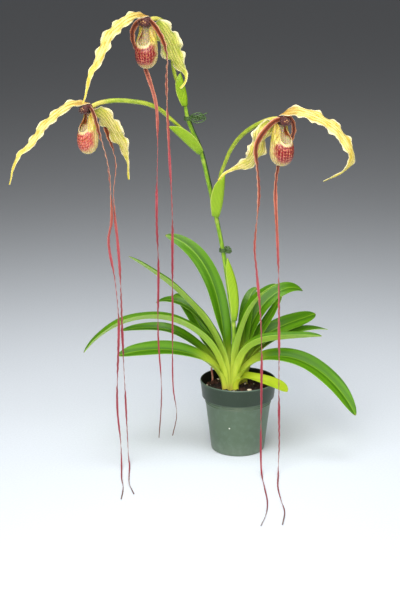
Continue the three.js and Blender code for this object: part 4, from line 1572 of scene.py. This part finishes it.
@dataclass
class FlowerStem:
    """The upright flower stem with its sheath and bracts, in millimetres."""

    foot_radius: float = 3.3
    top_radius: float = 2.6
    sides: int = 24
    stations: int = 260
    ridge: float = 0.025
    ridges: int = 5
    joint_swell: float = 0.09
    joint_share: float = 0.008
    joint_pale: float = 0.7
    joints: tuple[float, ...] = (0.235, 0.6, 0.81, 0.965)
    route: Route = field(default_factory=lambda: [
        (-12.5, -4, 93.8), (-9, -4.5, 140), (-7, -5.5, 187), (-13, -7, 235), (-24.3, -9.7, 311),
        (-36, -14, 369), (-44, -18, 406), (-57, -22, 460), (-69, -24, 489), (-75, -25, 506),
        (-78, -25, 523),
    ])
    bracts: list[Bract] = field(default_factory=lambda: [
        Bract("stem_sheath", 4.0, [(-3.6, -5.8, 203), (-1, -6.6, 226), (-3.4, -7.6, 256), (-10, -8.6, 280),
                                   (-17.6, -9.4, 299)], (0, 1, 0), (12, 8), 84),
        Bract("bract_right", 4.5, [(-30.2, -14.7, 362.5), (-26.8, -16.8, 375), (-24.4, -20, 390),
                                   (-23, -23, 407), (-22.4, -25.5, 425)], (0, 1, 0.15), (17, 1.5), 80),
        Bract("bract_left", 3.9, [(-60.6, -24.6, 455.5), (-74, -34.4, 469.5), (-87, -41.4, 483.5),
                                  (-102, -47.6, 498.5)], (0, -1, 0.15), (2.5, 14), 78),
        Bract("bract_top", 3.7, [(-75.3, -24.8, 524.5), (-76.2, -25.7, 537), (-79.5, -26.4, 552),
                                 (-84.8, -26.8, 570)], (0, 1, 0), (12, 8), 80),
    ])

    def stalk(self) -> None:
        """The stem itself, faintly ridged and swollen at its joints."""
        track = Track.along(self.route, self.stations, (0, 1, 0))
        swelling = sum(np.exp(-(((track.share - spot) / self.joint_share) ** 2)) for spot in self.joints)
        radius = mix(self.foot_radius, self.top_radius, track.share) * (1.0 + self.joint_swell * swelling)
        radii = radius[:, None] * (1.0 + self.ridge * np.cos(self.ridges * circle(self.sides)))
        pale = self.joint_pale * np.clip(swelling, 0.0, 1.0)
        grid, marks = track.stalk(radii, self.foot_radius, pale)
        dress(loft("stalk", [grid], [marks]), GreenStalk().make(), Slot.STEM, "flower_stem")

    def build(self) -> None:
        """Builds the stem and its bracts."""
        self.stalk()
        skin = BractSkin().make()
        for bract in self.bracts:
            bract.build(skin)


@dataclass
class Tie:
    """A soft wire tie: turns round stem and stake, and a knot of loose curls, in millimetres."""

    name: str
    centre: Point
    to_stake: tuple[float, float]
    loops: list[Route]
    curls: int
    curl_reach: Point
    seed: int
    turns: int = 3
    long: float = 6.6
    short: float = 5.0
    wire: float = 0.8
    pitch: float = 2.1
    off_stem: float = 1.8
    curl_spread: float = 1.6
    curl_radius: tuple[float, float] = (1.8, 3.4)
    curl_turn: tuple[float, float] = (4.2, 7.5)
    curl_wire: float = 0.7

    def coil(self) -> Array:
        """The turns round the stem and the stake.

        Returns:
            The points that the wire follows.
        """
        toward = np.array([*unit(np.array(self.to_stake)), 0.0])
        beside = np.array([-toward[1], toward[0], 0.0])
        turn = np.linspace(0.0, self.turns, 20 * self.turns + 1)[:, None]
        flat = toward * (self.off_stem + self.long * np.cos(TAU * turn))
        flat = flat + beside * self.short * np.sin(TAU * turn)
        return flat + np.array([0.0, 0.0, self.pitch]) * (turn - self.turns / 2.0)

    def curl(self, draw: np.random.Generator) -> Array:
        """One small curl of wire among the loops.

        Args:
            draw: the seeded source of chance.

        Returns:
            The points that it follows.
        """
        reach = np.array(self.curl_reach)
        hub = reach * draw.uniform(0.35, 1.0) + draw.normal(0.0, self.curl_spread, 3)
        first, second = unit(draw.normal(0.0, 1.0, 3)), unit(draw.normal(0.0, 1.0, 3))
        turn = np.linspace(0.0, draw.uniform(*self.curl_turn), 12)[:, None]
        ring = draw.uniform(*self.curl_radius) * (np.cos(turn) * first + np.sin(turn) * second)
        return hub + ring + 0.25 * turn * unit(reach)

    def build(self, skin: Material) -> None:
        """Makes the coil, the loops and the small curls among them.

        Args:
            skin: the wire finish.
        """
        draw = np.random.default_rng(self.seed)
        routes = [(self.coil(), 200, self.wire)]
        routes += [(np.array(loop), 70, self.wire) for loop in self.loops]
        routes += [(self.curl(draw), 46, self.wire * self.curl_wire) for _ in range(self.curls)]
        grids = []
        for route, count, radius in routes:
            track = Track.along(route + np.array(self.centre), count, (0.2, 0.1, 1.0))
            grids.append(track.tube(np.full(count, radius), 8))
        dress(loft("twist_" + self.name, grids, [{}] * len(grids)), skin, Slot.TIE, self.name)


@dataclass
class Support:
    """The wire stake and its two ties, in millimetres."""

    radius: float = 1.1
    ripple: float = 0.03
    ripple_mm: float = 4.0
    route: Route = field(default_factory=lambda: [
        (-9, 9.6, 50), (-9, 9.6, 96), (-6, 9.2, 160), (-6, 7.6, 215), (-13.5, 2.5, 262), (-19, -2.6, 292),
        (-22, -5.2, 311), (-33.5, -9.4, 369), (-41, -13.2, 406), (-54, -17.2, 460), (-66, -19.6, 489),
        (-72, -20.6, 506), (-74.5, -20.8, 515),
    ])
    ties: list[Tie] = field(default_factory=lambda: [
        Tie("stem_tie_lower", (-24.3, -9.7, 311), (2.3, 4.5), [
            [(3.7, -2.2, 1.5), (7.5, -4.5, 4.5), (10.5, -3, 1), (8, -3.4, -3.5), (3.7, -2.2, -1.5)],
            [(3.7, -2.2, -1), (7, -5.5, -2), (12, -4, 2), (8.5, -1, 4.2), (4.2, -1.4, 2.2)],
        ], 13, (10, -3.5, 0), 5),
        Tie("stem_tie_upper", (-75, -25, 506), (3, 4.4), [
            [(3.4, -2.6, 1.6), (9, -6, 7), (18, -5, 8), (23, -3, 3), (16, -4, -2), (8, -5, -3),
             (3.4, -2.6, -2)],
            [(3.4, -2.6, 0), (10, -7, -5), (20, -7, -4), (26, -5, 1), (19, -6, 6), (10, -6, 3),
             (3.4, -2.6, 2)],
            [(3.4, -2.6, 1), (12, -4, 1), (22, -8, 6), (28, -9, 9)],
        ], 16, (19, -5, 2), 8),
    ])

    def build(self) -> None:
        """Makes the stake and the ties."""
        track = Track.along(self.route, 200, (0, 1, 0))
        radii = self.radius * (1.0 + self.ripple * np.sin(track.run / self.ripple_mm))
        wire = loft("stake_wire", [track.tube(radii, 14)], [{}])
        dress(wire, CoatedWire().make(), Slot.STAKE, "wire_stake")
        skin = CoatedWire(name="tie_wire", green="43632F", worn="93AC74").make()
        for tie in self.ties:
            tie.build(skin)


@dataclass
class OldStub:
    """The dry stub of an older flower stem, in millimetres."""

    radius: float = 1.7
    sides: int = 20
    fray: float = 0.9
    taper: float = 0.25
    frayed_from: float = 0.985
    frayed_radius: float = 0.72
    route: Route = field(default_factory=lambda: [(-38, 24, 84), (-38, 24, 99), (-40, 24, 119)])

    def build(self) -> None:
        """Makes the stub, ridged with fibres and frayed at its end."""
        track = Track.along(self.route, 60, (1, 0, 0))
        share, angle = track.share[:, None], circle(self.sides)[None, :]
        ridges = 1.0 + 0.07 * np.cos(7.0 * angle) + 0.04 * np.cos(3.0 * angle + 9.0 * share)
        worn = (1.0 - self.taper * share) * np.where(share > self.frayed_from, self.frayed_radius, 1.0)
        grid = track.tube(self.radius * worn * ridges, self.sides)
        grid[-3:, :, 2] += self.fray * np.cos(2.0 * angle + 0.6)
        dress(loft("dry_stub", [grid], [{}]), DryFibre().make(), Slot.STUB, "old_spike_stub")


class SepalKind(Enum):
    """The two sepals of a bloom and how their breadth runs: seat, foot, spread, fall, start, over."""

    DORSAL = (0.3, 0.62, 0.2, 0.86, 0.45, 0.55)
    SYNSEPAL = (0.26, 0.7, 0.22, 0.88, 0.42, 0.44)

    def breadth(self, share: Array) -> Array:
        """How broad the sepal is along its length, where 1 is its full breadth.

        Args:
            share: how far along the sepal, from 0 to 1.

        Returns:
            The breadth at each station.
        """
        seat, foot, spread, fall, start, over = self.value
        opened = seat + (foot - seat) * smooth(share / 0.08)
        opened = opened + (1.0 - foot) * smooth((share - 0.08) / spread)
        return opened * (1.0 - fall * smooth((share - start) / over))


@dataclass
class Sepal:
    """One sepal's sizes, in millimetres and degrees, in its bloom's own frame.

    rolls are how far it is tipped at its foot, belly and tail.
    """

    kind: SepalKind
    half: float
    rolls: Point
    waves: float
    path: Route
    finish: str
    wave: float = 0.2
    cup: float = 0.16
    lobing: float = 0.2
    crisping: float = 0.06
    ribbing: float = 0.12
    depth: float = 0.42
    stations: int = 200

    def grid(self) -> Shape:
        """The blade, waved and crisped along both margins.

        Returns:
            The grid, and its marks.
        """
        flat = Track.along(self.path, self.stations, (0, 1, 0))
        share, s = flat.share, flat.share[:, None]
        foot, belly, tail = self.rolls
        upper = smooth(share / 0.08) * mix(foot, belly, smooth((share - 0.1) / 0.2))
        track = flat.rolled(mix(upper, tail, smooth((share - 0.5) / 0.3)))
        t = np.linspace(-1.0, 1.0, 31)[None, :]
        settled = smooth(s / 0.15)
        phase = TAU * self.waves * s + np.where(t > 0, 2.4, 0.0)
        uneven = np.sin(phase + 0.9) + 0.5 * np.sin(1.7 * phase + 2.0)
        lobes = 1.0 + self.lobing * uneven * np.abs(t) ** 3 * settled
        width = np.maximum(0.5, self.half * self.kind.breadth(share))[:, None]
        wave = width * t**2 * (self.wave * np.sin(phase) * settled - self.cup)
        crisp = self.crisping * width * np.abs(t) ** 4 * np.sin(2.7 * phase + 1.3 * np.sign(t)) * settled
        ribs = self.ribbing * np.cos(t * 7.0 * math.pi) * (1.0 - t**2)
        return track.sheet(t, width * lobes, wave + crisp + ribs, self.depth * (1.0 - 0.5 * t**2))


@dataclass
class Pouch:
    """The slipper pouch, in millimetres, in its bloom's own frame: x is ahead and z is up."""

    swell: float
    front_reach: float = 16.5
    back_reach: float = 15.5
    half_width: float = 15.5
    bottom: float = -66.0
    widest: float = -45.0
    front_rim: float = -34.0
    back_rim: float = -4.1
    back_narrowing: float = 0.62
    side_narrowing: float = 0.2
    side_rise: float = 0.62
    lip_in: float = 0.16
    fold_in: float = 0.55
    fold_down: float = 1.5
    wall: float = 1.0
    seam: float = 0.16
    seams: int = 17
    crest: float = 0.4
    sides: int = 96
    rows: int = 60

    def ring(self, v: float, inset: float) -> Array:
        """One level of the wall.

        Args:
            v: how high up the wall, from 0 at the toe to 1 at the rim.
            inset: how far inside the outer face.

        Returns:
            The points of the ring.
        """
        angle = circle(self.sides)
        back = (1.0 - np.cos(angle)) / 2.0
        low = self.bottom + inset
        rim = mix(self.front_rim, self.back_rim, smooth(back / self.side_rise))
        z = low + (rim - low) * v**1.25
        upper = np.clip((z - self.widest) / (self.back_rim - self.widest), 0.0, 1.0)
        sunk = np.clip((self.widest - z) / (self.widest - low), 0.0, 1.0)
        belly = np.sqrt(np.clip(1.0 - sunk**2.3, 0.0, 1.0))
        behind = self.back_reach * (1.0 - self.back_narrowing * upper**1.5)
        reach = self.swell * mix(self.front_reach, behind, smooth(back))
        breadth = self.swell * self.half_width * (1.0 - self.side_narrowing * upper**1.4)
        scale = belly * (1.0 - self.lip_in * smooth((v - 0.75) / 0.25) * (1.0 - back))
        fold = smooth((back - 0.12) / 0.3) * smooth((0.66 - back) / 0.26) * smooth((v - 0.7) / 0.3)
        seams = self.seam * np.cos(angle * self.seams) * smooth(v / 0.2) * (1.0 - smooth((v - 0.8) / 0.2))
        ahead = np.maximum(0.2, reach * scale - inset + seams)
        wide = np.maximum(0.2, breadth * scale * (1.0 - self.fold_in * fold) - inset + seams)
        z = z - self.fold_down * fold * np.abs(np.sin(angle))
        return np.stack([-0.5 + np.cos(angle) * ahead, np.sin(angle) * wide, z], axis=-1)

    def grid(self) -> Shape:
        """The wall outside, over its rounded rim and down inside.

        Returns:
            The grid, and its marks.
        """
        levels = np.linspace(0.02, 1.0, self.rows)
        outside = [self.ring(v, 0.0) for v in levels]
        inside = [self.ring(v, self.wall) for v in levels[::-1]]
        crest = 0.5 * (outside[-1] + inside[0]) + np.array([0.0, 0.0, self.crest])
        grid = np.stack(outside + [crest] + inside)
        angle = circle(self.sides)[None, :]
        height = np.concatenate([levels, [1.0], levels[::-1]])
        v = height[:, None]
        front, aside = (1.0 + np.cos(angle)) / 2.0, np.sin(angle) ** 2
        marks = {
            "around": np.where(angle > math.pi, angle - TAU, angle) / math.pi + 0.0 * v,
            "height": height,
            "inside": np.concatenate([np.zeros(self.rows), [0.5], np.ones(self.rows)]),
            "level": (grid[..., 2] - self.bottom) / (self.front_rim - self.bottom),
            "lip": smooth((v - 0.87) / 0.1) * smooth((front - 0.5) / 0.4),
            "lobe": smooth((v - 0.62) / 0.24) * smooth((aside - 0.35) / 0.5) * (1.0 - 0.4 * front),
            # painted shadow: where the inside back wall lies in shade under the shield
            "throat": smooth((v - 0.84) / 0.14) * smooth((0.18 - front) / 0.12),
        }
        marks["throat"] = marks["throat"] * marks["inside"][:, None]
        return grid, marks


@dataclass
class Shield:
    """The column's hairy shield over the mouth: two lobes parted by a notch, in millimetres and degrees."""

    at: Point = (6.4, 0.0, -3.4)
    half: Point = (3.2, 8.2, 5.6)
    lean: float = 18.0
    hairs: int = 320
    hair_length: tuple[float, float] = (0.8, 1.5)
    side_hair: float = 2.2
    hair_radii: tuple[float, ...] = (0.16, 0.13, 0.09, 0.03)
    spots: tuple[Point, ...] = ((0.05, 0.3, 1.0), (-0.4, 0.1, 0.9), (0.42, 0.0, 0.9), (0.0, -0.35, 0.7))

    def cap(self) -> Shape:
        """The shield itself.

        Returns:
            The grid, and the mark of its pale spots.
        """
        polar = np.linspace(0.06, math.pi - 0.06, 26)[:, None]
        turn = circle(40)[None, :]
        x = np.cos(polar) * np.ones_like(turn)
        y, z = np.sin(polar) * np.cos(turn), np.sin(polar) * np.sin(turn)
        notch = 1.0 - 0.3 * np.exp(-((y / 0.24) ** 2)) * smooth(-z / 0.9)
        crest = 1.0 + 0.18 * np.exp(-((y / 0.3) ** 2)) * smooth(z)
        lumps = 1.0 + 0.03 * np.sin(9.0 * turn) * np.sin(polar)
        shape = np.stack([x * crest, y * lumps, z * notch * lumps], axis=-1) * np.array(self.half)
        spots = sum(
            size * np.exp(-(((y - spot_y) / 0.15) ** 2) - ((z - spot_z) / 0.2) ** 2)
            for spot_y, spot_z, size in self.spots
        )
        marks = {"heart": spots * smooth((x - 0.3) / 0.3)}
        return turned(shape, self.lean, (0, 2)) + np.array(self.at), marks

    def fringe(self, draw: np.random.Generator) -> list[Array]:
        """The short dark hairs on the shield, longest along its sides.

        Args:
            draw: the seeded source of chance.

        Returns:
            Each hair's rings.
        """
        shape = self.cap()[0]
        grids = []
        for _ in range(self.hairs):
            root = shape[int(draw.integers(3, 20)), int(draw.integers(0, shape.shape[1]))]
            away = root - np.array(self.at)
            out = unit(away * np.array([0.5, 1.0, 0.8]) + draw.normal(0.0, 0.5, 3))
            length = draw.uniform(*self.hair_length)
            length += self.side_hair * abs(away[1]) / self.half[1] * draw.uniform(0.4, 1.0)
            tip = root + out * length - np.array([0.0, 0.0, 0.35 * length])
            route = [root - out * 0.3, root + out * length * 0.5, tip]
            hair = Track.along(route, len(self.hair_radii), (0.1, 0.3, 1.0))
            grids.append(hair.tube(np.array(self.hair_radii), 3))
        return grids


@dataclass
class SeedStalk:
    """The stalk behind a flower and the ribbed ovary that it swells into, in millimetres."""

    route: Route
    stalk_radius: float = 2.1
    ovary_radius: float = 3.0
    ribs: int = 6
    rib_rise: float = 0.07
    stations: int = 150
    sides: int = 24

    def grid(self) -> Shape:
        """The whole stalk, pale at both ends.

        Returns:
            The grid, and its marks.
        """
        track = Track.along(self.route, self.stations, (0.3, 1, 0.2))
        share = track.share
        ribs = self.rib_rise * np.cos(self.ribs * circle(self.sides)) * smooth(share / 0.5)[:, None]
        radii = mix(self.stalk_radius, self.ovary_radius, smooth(share * 1.6))[:, None] * (1.0 + ribs)
        pale = 0.6 * np.exp(-((share / 0.03) ** 2)) + smooth((share - 0.82) / 0.12)
        return track.stalk(radii, self.ovary_radius, pale)


@dataclass
class Ribbon:
    """A long petal, twisted all the way and crimped along its margins, in millimetres and degrees.

    start is which way it twists, 1 or -1. half is half its breadth near its foot, and slim_half further on.
    """

    route: Route
    start: int
    half: float = 4.5
    slim_half: float = 1.9
    depth: float = 0.4
    turns: float = 2.1
    sway: float = 22.0
    sways: float = 7.0
    cup: float = 0.16
    crimp: float = 0.16
    crimp_mm: float = 1.9
    foot_breadth: float = 0.72
    tail_narrowing: float = 0.6
    tail_start: float = 0.45
    uneven: float = 0.06
    uneven_mm: float = 5.0
    stations: int = 460

    def grid(self) -> Shape:
        """The blade, twisted and crimped.

        Returns:
            The grid, and its marks.
        """
        flat = Track.along(self.route, self.stations, (0, 0, 1))
        share, run = flat.share, flat.run
        twist = self.start * 360.0 * self.turns * smooth(share / 1.6) * 1.6
        sway = self.sway * np.sin(TAU * self.sways * share + flat.length) * smooth(share / 0.12)
        foot = mix(self.foot_breadth, 1.0, smooth(share / 0.03))
        width = foot * mix(self.half, self.slim_half, smooth(share / 0.3))
        tail = smooth((share - self.tail_start) / (1.0 - self.tail_start))
        width = width * (1.0 - self.tail_narrowing * tail)
        width = width * (1.0 + self.uneven * np.sin(run / self.uneven_mm))
        t = np.linspace(-1.0, 1.0, 9)[None, :]
        gathers = np.sin(run / self.crimp_mm + 1.0) * smooth(share / 0.05)
        rise = self.cup * t**2 + self.crimp * np.abs(t) ** 3 * gathers[:, None]
        depth = (self.depth * (1.0 - 0.3 * share))[:, None] * (1.0 - 0.4 * t**2)
        return flat.rolled(twist + sway).sheet(t, width[:, None], width[:, None] * rise, depth)


@dataclass(frozen=True)
class Part:
    """One closed body of a flower: how its piece's name and its node's begin, its shape and its look."""

    look: str
    node: str
    shape: Shape
    finish: str
    slot: Slot


@dataclass
class Bloom:
    """One flower: where it sits, which way it faces and the routes of its parts, in millimetres.

    turn is how far its lip looks aside from yaw, and swell and lift are its pouch's size and rise.
    near is which way the near petal twists. The far one twists the other way.
    """

    name: str
    origin: Point
    yaw: float
    turn: float
    swell: float
    lift: float
    near: int
    dorsal: Sepal
    synsepal: Sepal
    ovary: Route
    near_petal: Route
    far_petal: Route
    slipper: str = "pouch"
    neck_radius: float = 4.0

    def settle(self, grid: Array) -> Array:
        """Carries points from the bloom's own frame to the plant's."""
        return turned(grid, self.yaw) + np.array(self.origin)

    def column(self, skin: Material) -> None:
        """The neck, its shield and the hairs, as one piece.

        Args:
            skin: the velvet finish.
        """
        shield = Shield()
        reach = turned(np.array([[2.5, 0.0, 0.0], [shield.at[0], 0.0, -1.2]]), self.turn)
        neck = Track.along([(-6, 0, 0), (-2, 0, 0.3), *reach], 18, (0, 1, 0))
        cap, spots = shield.cap()
        lobes = [cap] + shield.fringe(np.random.default_rng(len(self.name)))
        grids = [neck.tube(self.neck_radius * (1.0 - 0.2 * neck.share), 28)]
        grids += [turned(grid, self.turn) for grid in lobes]
        plain = {"heart": np.array(0.0)}
        marks = [plain, spots] + [plain] * shield.hairs
        made = loft("column_velvet_" + self.name, [self.settle(grid) for grid in grids], marks)
        dress(made, skin, Slot.COLUMN, "column_" + self.name)

    def parts(self) -> list[Part]:
        """The parts that are one closed body each.

        Returns:
            The pouch, the sepals, the stalk and the petals.
        """
        grid, marks = Pouch(self.swell).grid()
        slipper = self.settle(turned(grid, self.turn) + np.array([0.0, 0.0, self.lift]))
        parts = [Part("slipper_", "pouch_", (slipper, marks), self.slipper, Slot.POUCH)]
        for label, sepal in (("dorsal_sepal_", self.dorsal), ("synsepal_", self.synsepal)):
            grid, marks = sepal.grid()
            shape = (self.settle(grid), marks)
            parts.append(Part("blade_" + label, label, shape, sepal.finish, Slot.SEPAL))
        parts.append(Part("seed_stalk_", "ovary_", SeedStalk(self.ovary).grid(), "stalk", Slot.OVARY))
        petals = {
            "near_": Ribbon(self.near_petal, self.near),
            "far_": Ribbon(self.far_petal, -self.near),
        }
        for label, petal in petals.items():
            parts.append(Part("ribbon_" + label, "petal_" + label, petal.grid(), "ribbon", Slot.PETAL))
        return parts

    def build(self, skins: dict[str, Material]) -> None:
        """Builds the whole flower.

        Args:
            skins: every flower finish by name.
        """
        self.column(skins["velvet"])
        for part in self.parts():
            grid, marks = part.shape
            made = loft(part.look + self.name, [grid], [marks])
            dress(made, skins[part.finish], part.slot, part.node + self.name)


@dataclass
class Blooms:
    """The three flowers and the finishes that they share."""

    flowers: list[Bloom] = field(default_factory=lambda: [
        Bloom(
            "right", (54.8, -95, 516.2), -20, -32, 1.06, 0.9, -1,
            Sepal(SepalKind.DORSAL, 10.6, (54, 28, 28), 6.5, [
                (-4, 0, 5), (7, 0, 10), (20, 0, 12.5), (48, 0, 6), (72, 0, -6.5), (90, 0, -26),
                (99, 0, -47), (90, 0, -64), (60, 0, -82)], "dorsal"),
            Sepal(SepalKind.SYNSEPAL, 14.5, (62, 38, 78), 4.5, [
                (-8.8, 0, -4.3), (-15, 0, -7.1), (-23, -1, -14), (-30, -2, -28), (-34, -4, -44),
                (-43, -7, -60), (-58, -9, -68), (-74, -12, -75), (-87, -15, -88)], "synsepal"),
            [(-31.2, -16, 371.5), (-30.6, -18.8, 390), (-30, -22.6, 409), (-27.5, -26, 427),
             (-22, -32, 443), (-14.5, -40, 463), (-4, -52, 481), (9, -66, 496), (28, -81, 509.5),
             (41, -89.3, 515), (48.4, -92.7, 516.2)],
            [(51.2, -98.5, 516.4), (45, -103, 515), (36, -108, 508.5), (26, -112.5, 497),
             (19.5, -113.5, 484), (18.5, -112, 473), (20.5, -108.5, 458), (24, -102, 413),
             (19, -97, 335), (22, -96, 304), (29, -95, 220), (31, -95, 123), (31, -95, 36),
             (31.5, -99, 10), (32, -117, 2.4), (34, -160, 1.9), (36, -205, 1.7), (33, -245, 1.5),
             (24, -284, 1.3)],
            [(54.2, -90.1, 516.2), (64, -83, 515.5), (70.5, -76, 506), (71, -72, 493),
             (66, -70.5, 480), (58, -73.5, 465), (50.5, -80, 448), (47, -86, 423), (50, -90, 360),
             (54, -90, 278), (56, -90, 121), (58, -90, 38), (57, -94, 10), (56, -112, 2.4),
             (53, -155, 1.9), (55, -200, 1.7), (58, -240, 1.5), (53, -281, 1.3)],
        ),
        Bloom(
            "left", (-213.3, -60, 527.2), 210, 14, 0.94, 0.2, 1,
            Sepal(SepalKind.DORSAL, 7, (-60, -32, -32), 7, [
                (-4, 0, 5), (10, 0, 7), (26, 0, 5.5), (48, 0, -7), (68, 0, -22), (85, 0, -43),
                (104, 0, -58), (112, 0, -73), (119, 0, -97)], "dorsal"),
            Sepal(SepalKind.SYNSEPAL, 14, (-62, -28, -28), 4.5, [
                (-8.8, 0, -3.2), (-15, 0, -6.4), (-25, 0, -14), (-35, 0, -27), (-43, 0, -40),
                (-51, 0, -54), (-58, 0, -69), (-62, 0, -86), (-63, 0, -108)], "synsepal"),
            [(-61.2, -26.6, 463.5), (-69, -31.5, 477), (-80, -37, 490), (-99, -45, 509),
             (-113, -49, 522), (-130, -51.5, 530), (-154, -52, 534), (-178, -50.5, 534.5),
             (-196, -51, 531.5), (-206.7, -56.2, 527.6)],
            [(-208.3, -62.9, 527.2), (-203, -71, 520), (-198, -78, 504), (-193, -80, 485),
             (-187, -78, 464), (-183, -76, 436), (-181, -73, 371), (-186, -71, 340), (-178, -68, 277),
             (-174, -68, 218), (-178, -68, 89), (-174, -68, 34), (-173, -72, 9), (-172, -89, 2.3),
             (-170, -125, 1.8), (-166, -160, 1.6), (-167, -197, 1.4)],
            [(-213.1, -54.1, 527.2), (-206, -40, 521), (-195, -30, 505), (-188, -26, 484),
             (-181, -25, 462), (-177, -29, 441), (-180, -40, 401), (-178, -47, 366), (-175, -51, 339),
             (-171, -54, 275), (-169, -56, 168), (-166, -57, 86), (-164, -58, 36), (-163, -61, 10),
             (-161, -76, 2.3), (-160, -112, 1.8), (-158, -146, 1.6), (-150, -180, 1.4)],
            slipper="pale pouch",
        ),
        Bloom(
            "top", (-130.2, -70, 646.5), 225, 20, 1.0, 0.4, 1,
            Sepal(SepalKind.DORSAL, 8, (-54, -32, -32), 7, [
                (-4, 0, 5), (14, 0, 8.5), (33, 0, 4.5), (51, 0, -4.5), (68, 0, -16), (80, 0, -35),
                (91, 0, -52), (103, 0, -67), (107, 0, -82), (115, 0, -101)], "dorsal"),
            Sepal(SepalKind.SYNSEPAL, 17, (-58, -26, -26), 4.5, [
                (-8.8, 0, -4.9), (-15, 0, -7.5), (-25, 0, -14), (-35, 1, -25), (-43, 2, -38),
                (-49, 4, -52), (-55, 8, -65), (-62, 12, -76), (-58, 16, -88), (-46, 18, -95)], "green"),
            [(-78.1, -25, 523.4), (-81.4, -26.6, 536.5), (-87, -27, 551.5), (-92.7, -26.9, 568.5),
             (-94.8, -26.2, 584.5), (-95.6, -26.9, 601.5), (-98.4, -31.1, 618.5), (-104, -39.6, 634.5),
             (-111.8, -50.2, 645), (-119.6, -59.4, 647.3), (-125.3, -65.1, 646.5)],
            [(-124.8, -71.2, 646.5), (-117.5, -79.5, 639), (-109.5, -86, 627), (-104, -90, 614),
             (-101, -92, 598), (-102, -91, 576), (-102, -90, 544), (-99, -88, 458), (-96, -88, 374),
             (-96, -88, 262), (-96, -88, 129), (-91, -88, 85), (-97, -88, 53)],
            [(-131.1, -64.9, 646.5), (-142, -58, 641.5), (-149.5, -51, 630), (-149, -46, 613),
             (-142, -44.5, 597), (-133.5, -49, 580), (-126, -57, 561), (-118, -67, 533),
             (-115.5, -73, 495), (-118, -78, 372), (-116, -80, 303), (-117, -80, 204),
             (-113, -80, 117), (-117, -80, 46)],
        ),
    ])

    def build(self) -> None:
        """Makes the finishes and the flowers."""
        skins = {
            "velvet": VelvetShield().make(),
            "pouch": PouchSkin().make(),
            "pale pouch": PouchSkin(
                name="pale_pouch_skin", crimson="C4524A", blush="E8A48E", vein="8E3A2E",
                olive="A8802C").make(),
            "ribbon": RibbonPetal().make(),
            "stalk": GreenStalk(
                name="seed_stalk_skin", dark="86A024", light="AFC23A", ring="DDD06A").make(),
            "dorsal": SepalTissue(name="dorsal_sepal_tissue").make(),
            "synsepal": SepalTissue(
                name="synsepal_tissue", shade="CFC84A", foot="B2BC3C", vein="98A23A", flecks=0.1).make(),
            "green": SepalTissue(
                name="green_synsepal_tissue", ground="E0DD74", shade="B9C444", foot="A3BE36", vein="86A038",
                flecks=0.1).make(),
        }
        for bloom in self.flowers:
            bloom.build(skins)


@dataclass(frozen=True)
class Lamp:
    """One softbox: where it hangs and aims, its breadth, its watts and how wide its grid lets it spread."""

    name: str
    spot: Point
    aim: Point
    size: float
    watts: float
    spread: float
    tint: str = "FFFFFF"

    def hang(self) -> None:
        """Adds the softbox to the scene."""
        lamp = bpy.data.lights.new(self.name + "_softbox", "AREA")
        lamp.shape = "DISK"
        lamp.size = self.size * MM
        lamp.energy = self.watts
        lamp.spread = math.radians(self.spread)
        lamp.color = hex_to_linear(self.tint)[:3]
        held = bpy.data.objects.new(self.name + "_softbox", lamp)
        held.location = Vector(self.spot) * MM
        held.rotation_euler = (Vector(self.aim) - Vector(self.spot)).to_track_quat("-Z", "Y").to_euler()
        bpy.context.scene.collection.objects.link(held)


@dataclass
class Studio:
    """Camera, floor and lights, in millimetres, and how far the camera sees, in metres."""

    camera_at: Point = (-57.3, -2080.0, 834.7)
    pitch: float = 16.4
    lens: float = 86.15
    sensor: float = 36.0
    floor_radius: float = 12000.0
    floor_sides: int = 128
    reach: float = 60.0
    lamps: tuple[Lamp, ...] = (
        Lamp("key", (-900, -1500, 1900), (-50, -300, 250), 2000, 9.6, 85),
        Lamp("fill", (1400, -1500, 1300), (-50, -160, 250), 2000, 5.6, 95),
        Lamp("top", (0, -250, 1950), (-40, -200, 0), 1500, 4.6, 80),
        Lamp("front", (-200, -2300, 1300), (-80, -160, 250), 1400, 5.4, 60, "FFF2E2"),
    )
    sky: str = "959290"
    sky_strength: float = 0.28

    def camera(self) -> None:
        """Stands the camera where the photograph was taken from."""
        lens = bpy.data.cameras.new("studio_camera")
        lens.lens = self.lens
        lens.sensor_width = self.sensor
        lens.sensor_fit = "AUTO"
        lens.clip_end = self.reach
        held = bpy.data.objects.new("studio_camera", lens)
        held.location = Vector(self.camera_at) * MM
        held.rotation_euler = (math.radians(90.0 - self.pitch), 0.0, 0.0)
        bpy.context.scene.collection.objects.link(held)
        bpy.context.scene.camera = held

    def floor(self) -> None:
        """Lays a plain pale disc under the pot."""
        disc = level_rings(self.floor_radius, 0.0, self.floor_sides)
        paper = piece_from("studio_floor", disc, [tuple(range(self.floor_sides))], {})
        paper.data.materials.append(StudioPaper().make())

    def light(self) -> None:
        """Hangs the soft lamps and sets an even sky."""
        for lamp in self.lamps:
            lamp.hang()
        world = bpy.data.worlds.new("studio_sky")
        world.use_nodes = True
        sky = world.node_tree.nodes["Background"]
        sky.inputs["Color"].default_value = hex_to_linear(self.sky)
        sky.inputs["Strength"].default_value = self.sky_strength
        bpy.context.scene.world = world
        bpy.context.scene.view_settings.view_transform = "Standard"

    def build(self) -> None:
        """Sets up the studio."""
        self.camera()
        self.floor()
        self.light()


def main() -> None:
    """Builds the studio and the plant from the pot up."""
    logging.basicConfig(level=logging.INFO, format="%(name)s: %(message)s")
    for part in (Studio(), Pot(), PottingMix(), LeafFans(), FlowerStem(), Support(), OldStub(), Blooms()):
        LOG.info("building %s", type(part).__name__)
        part.build()


if __name__ == "__main__":
    main()
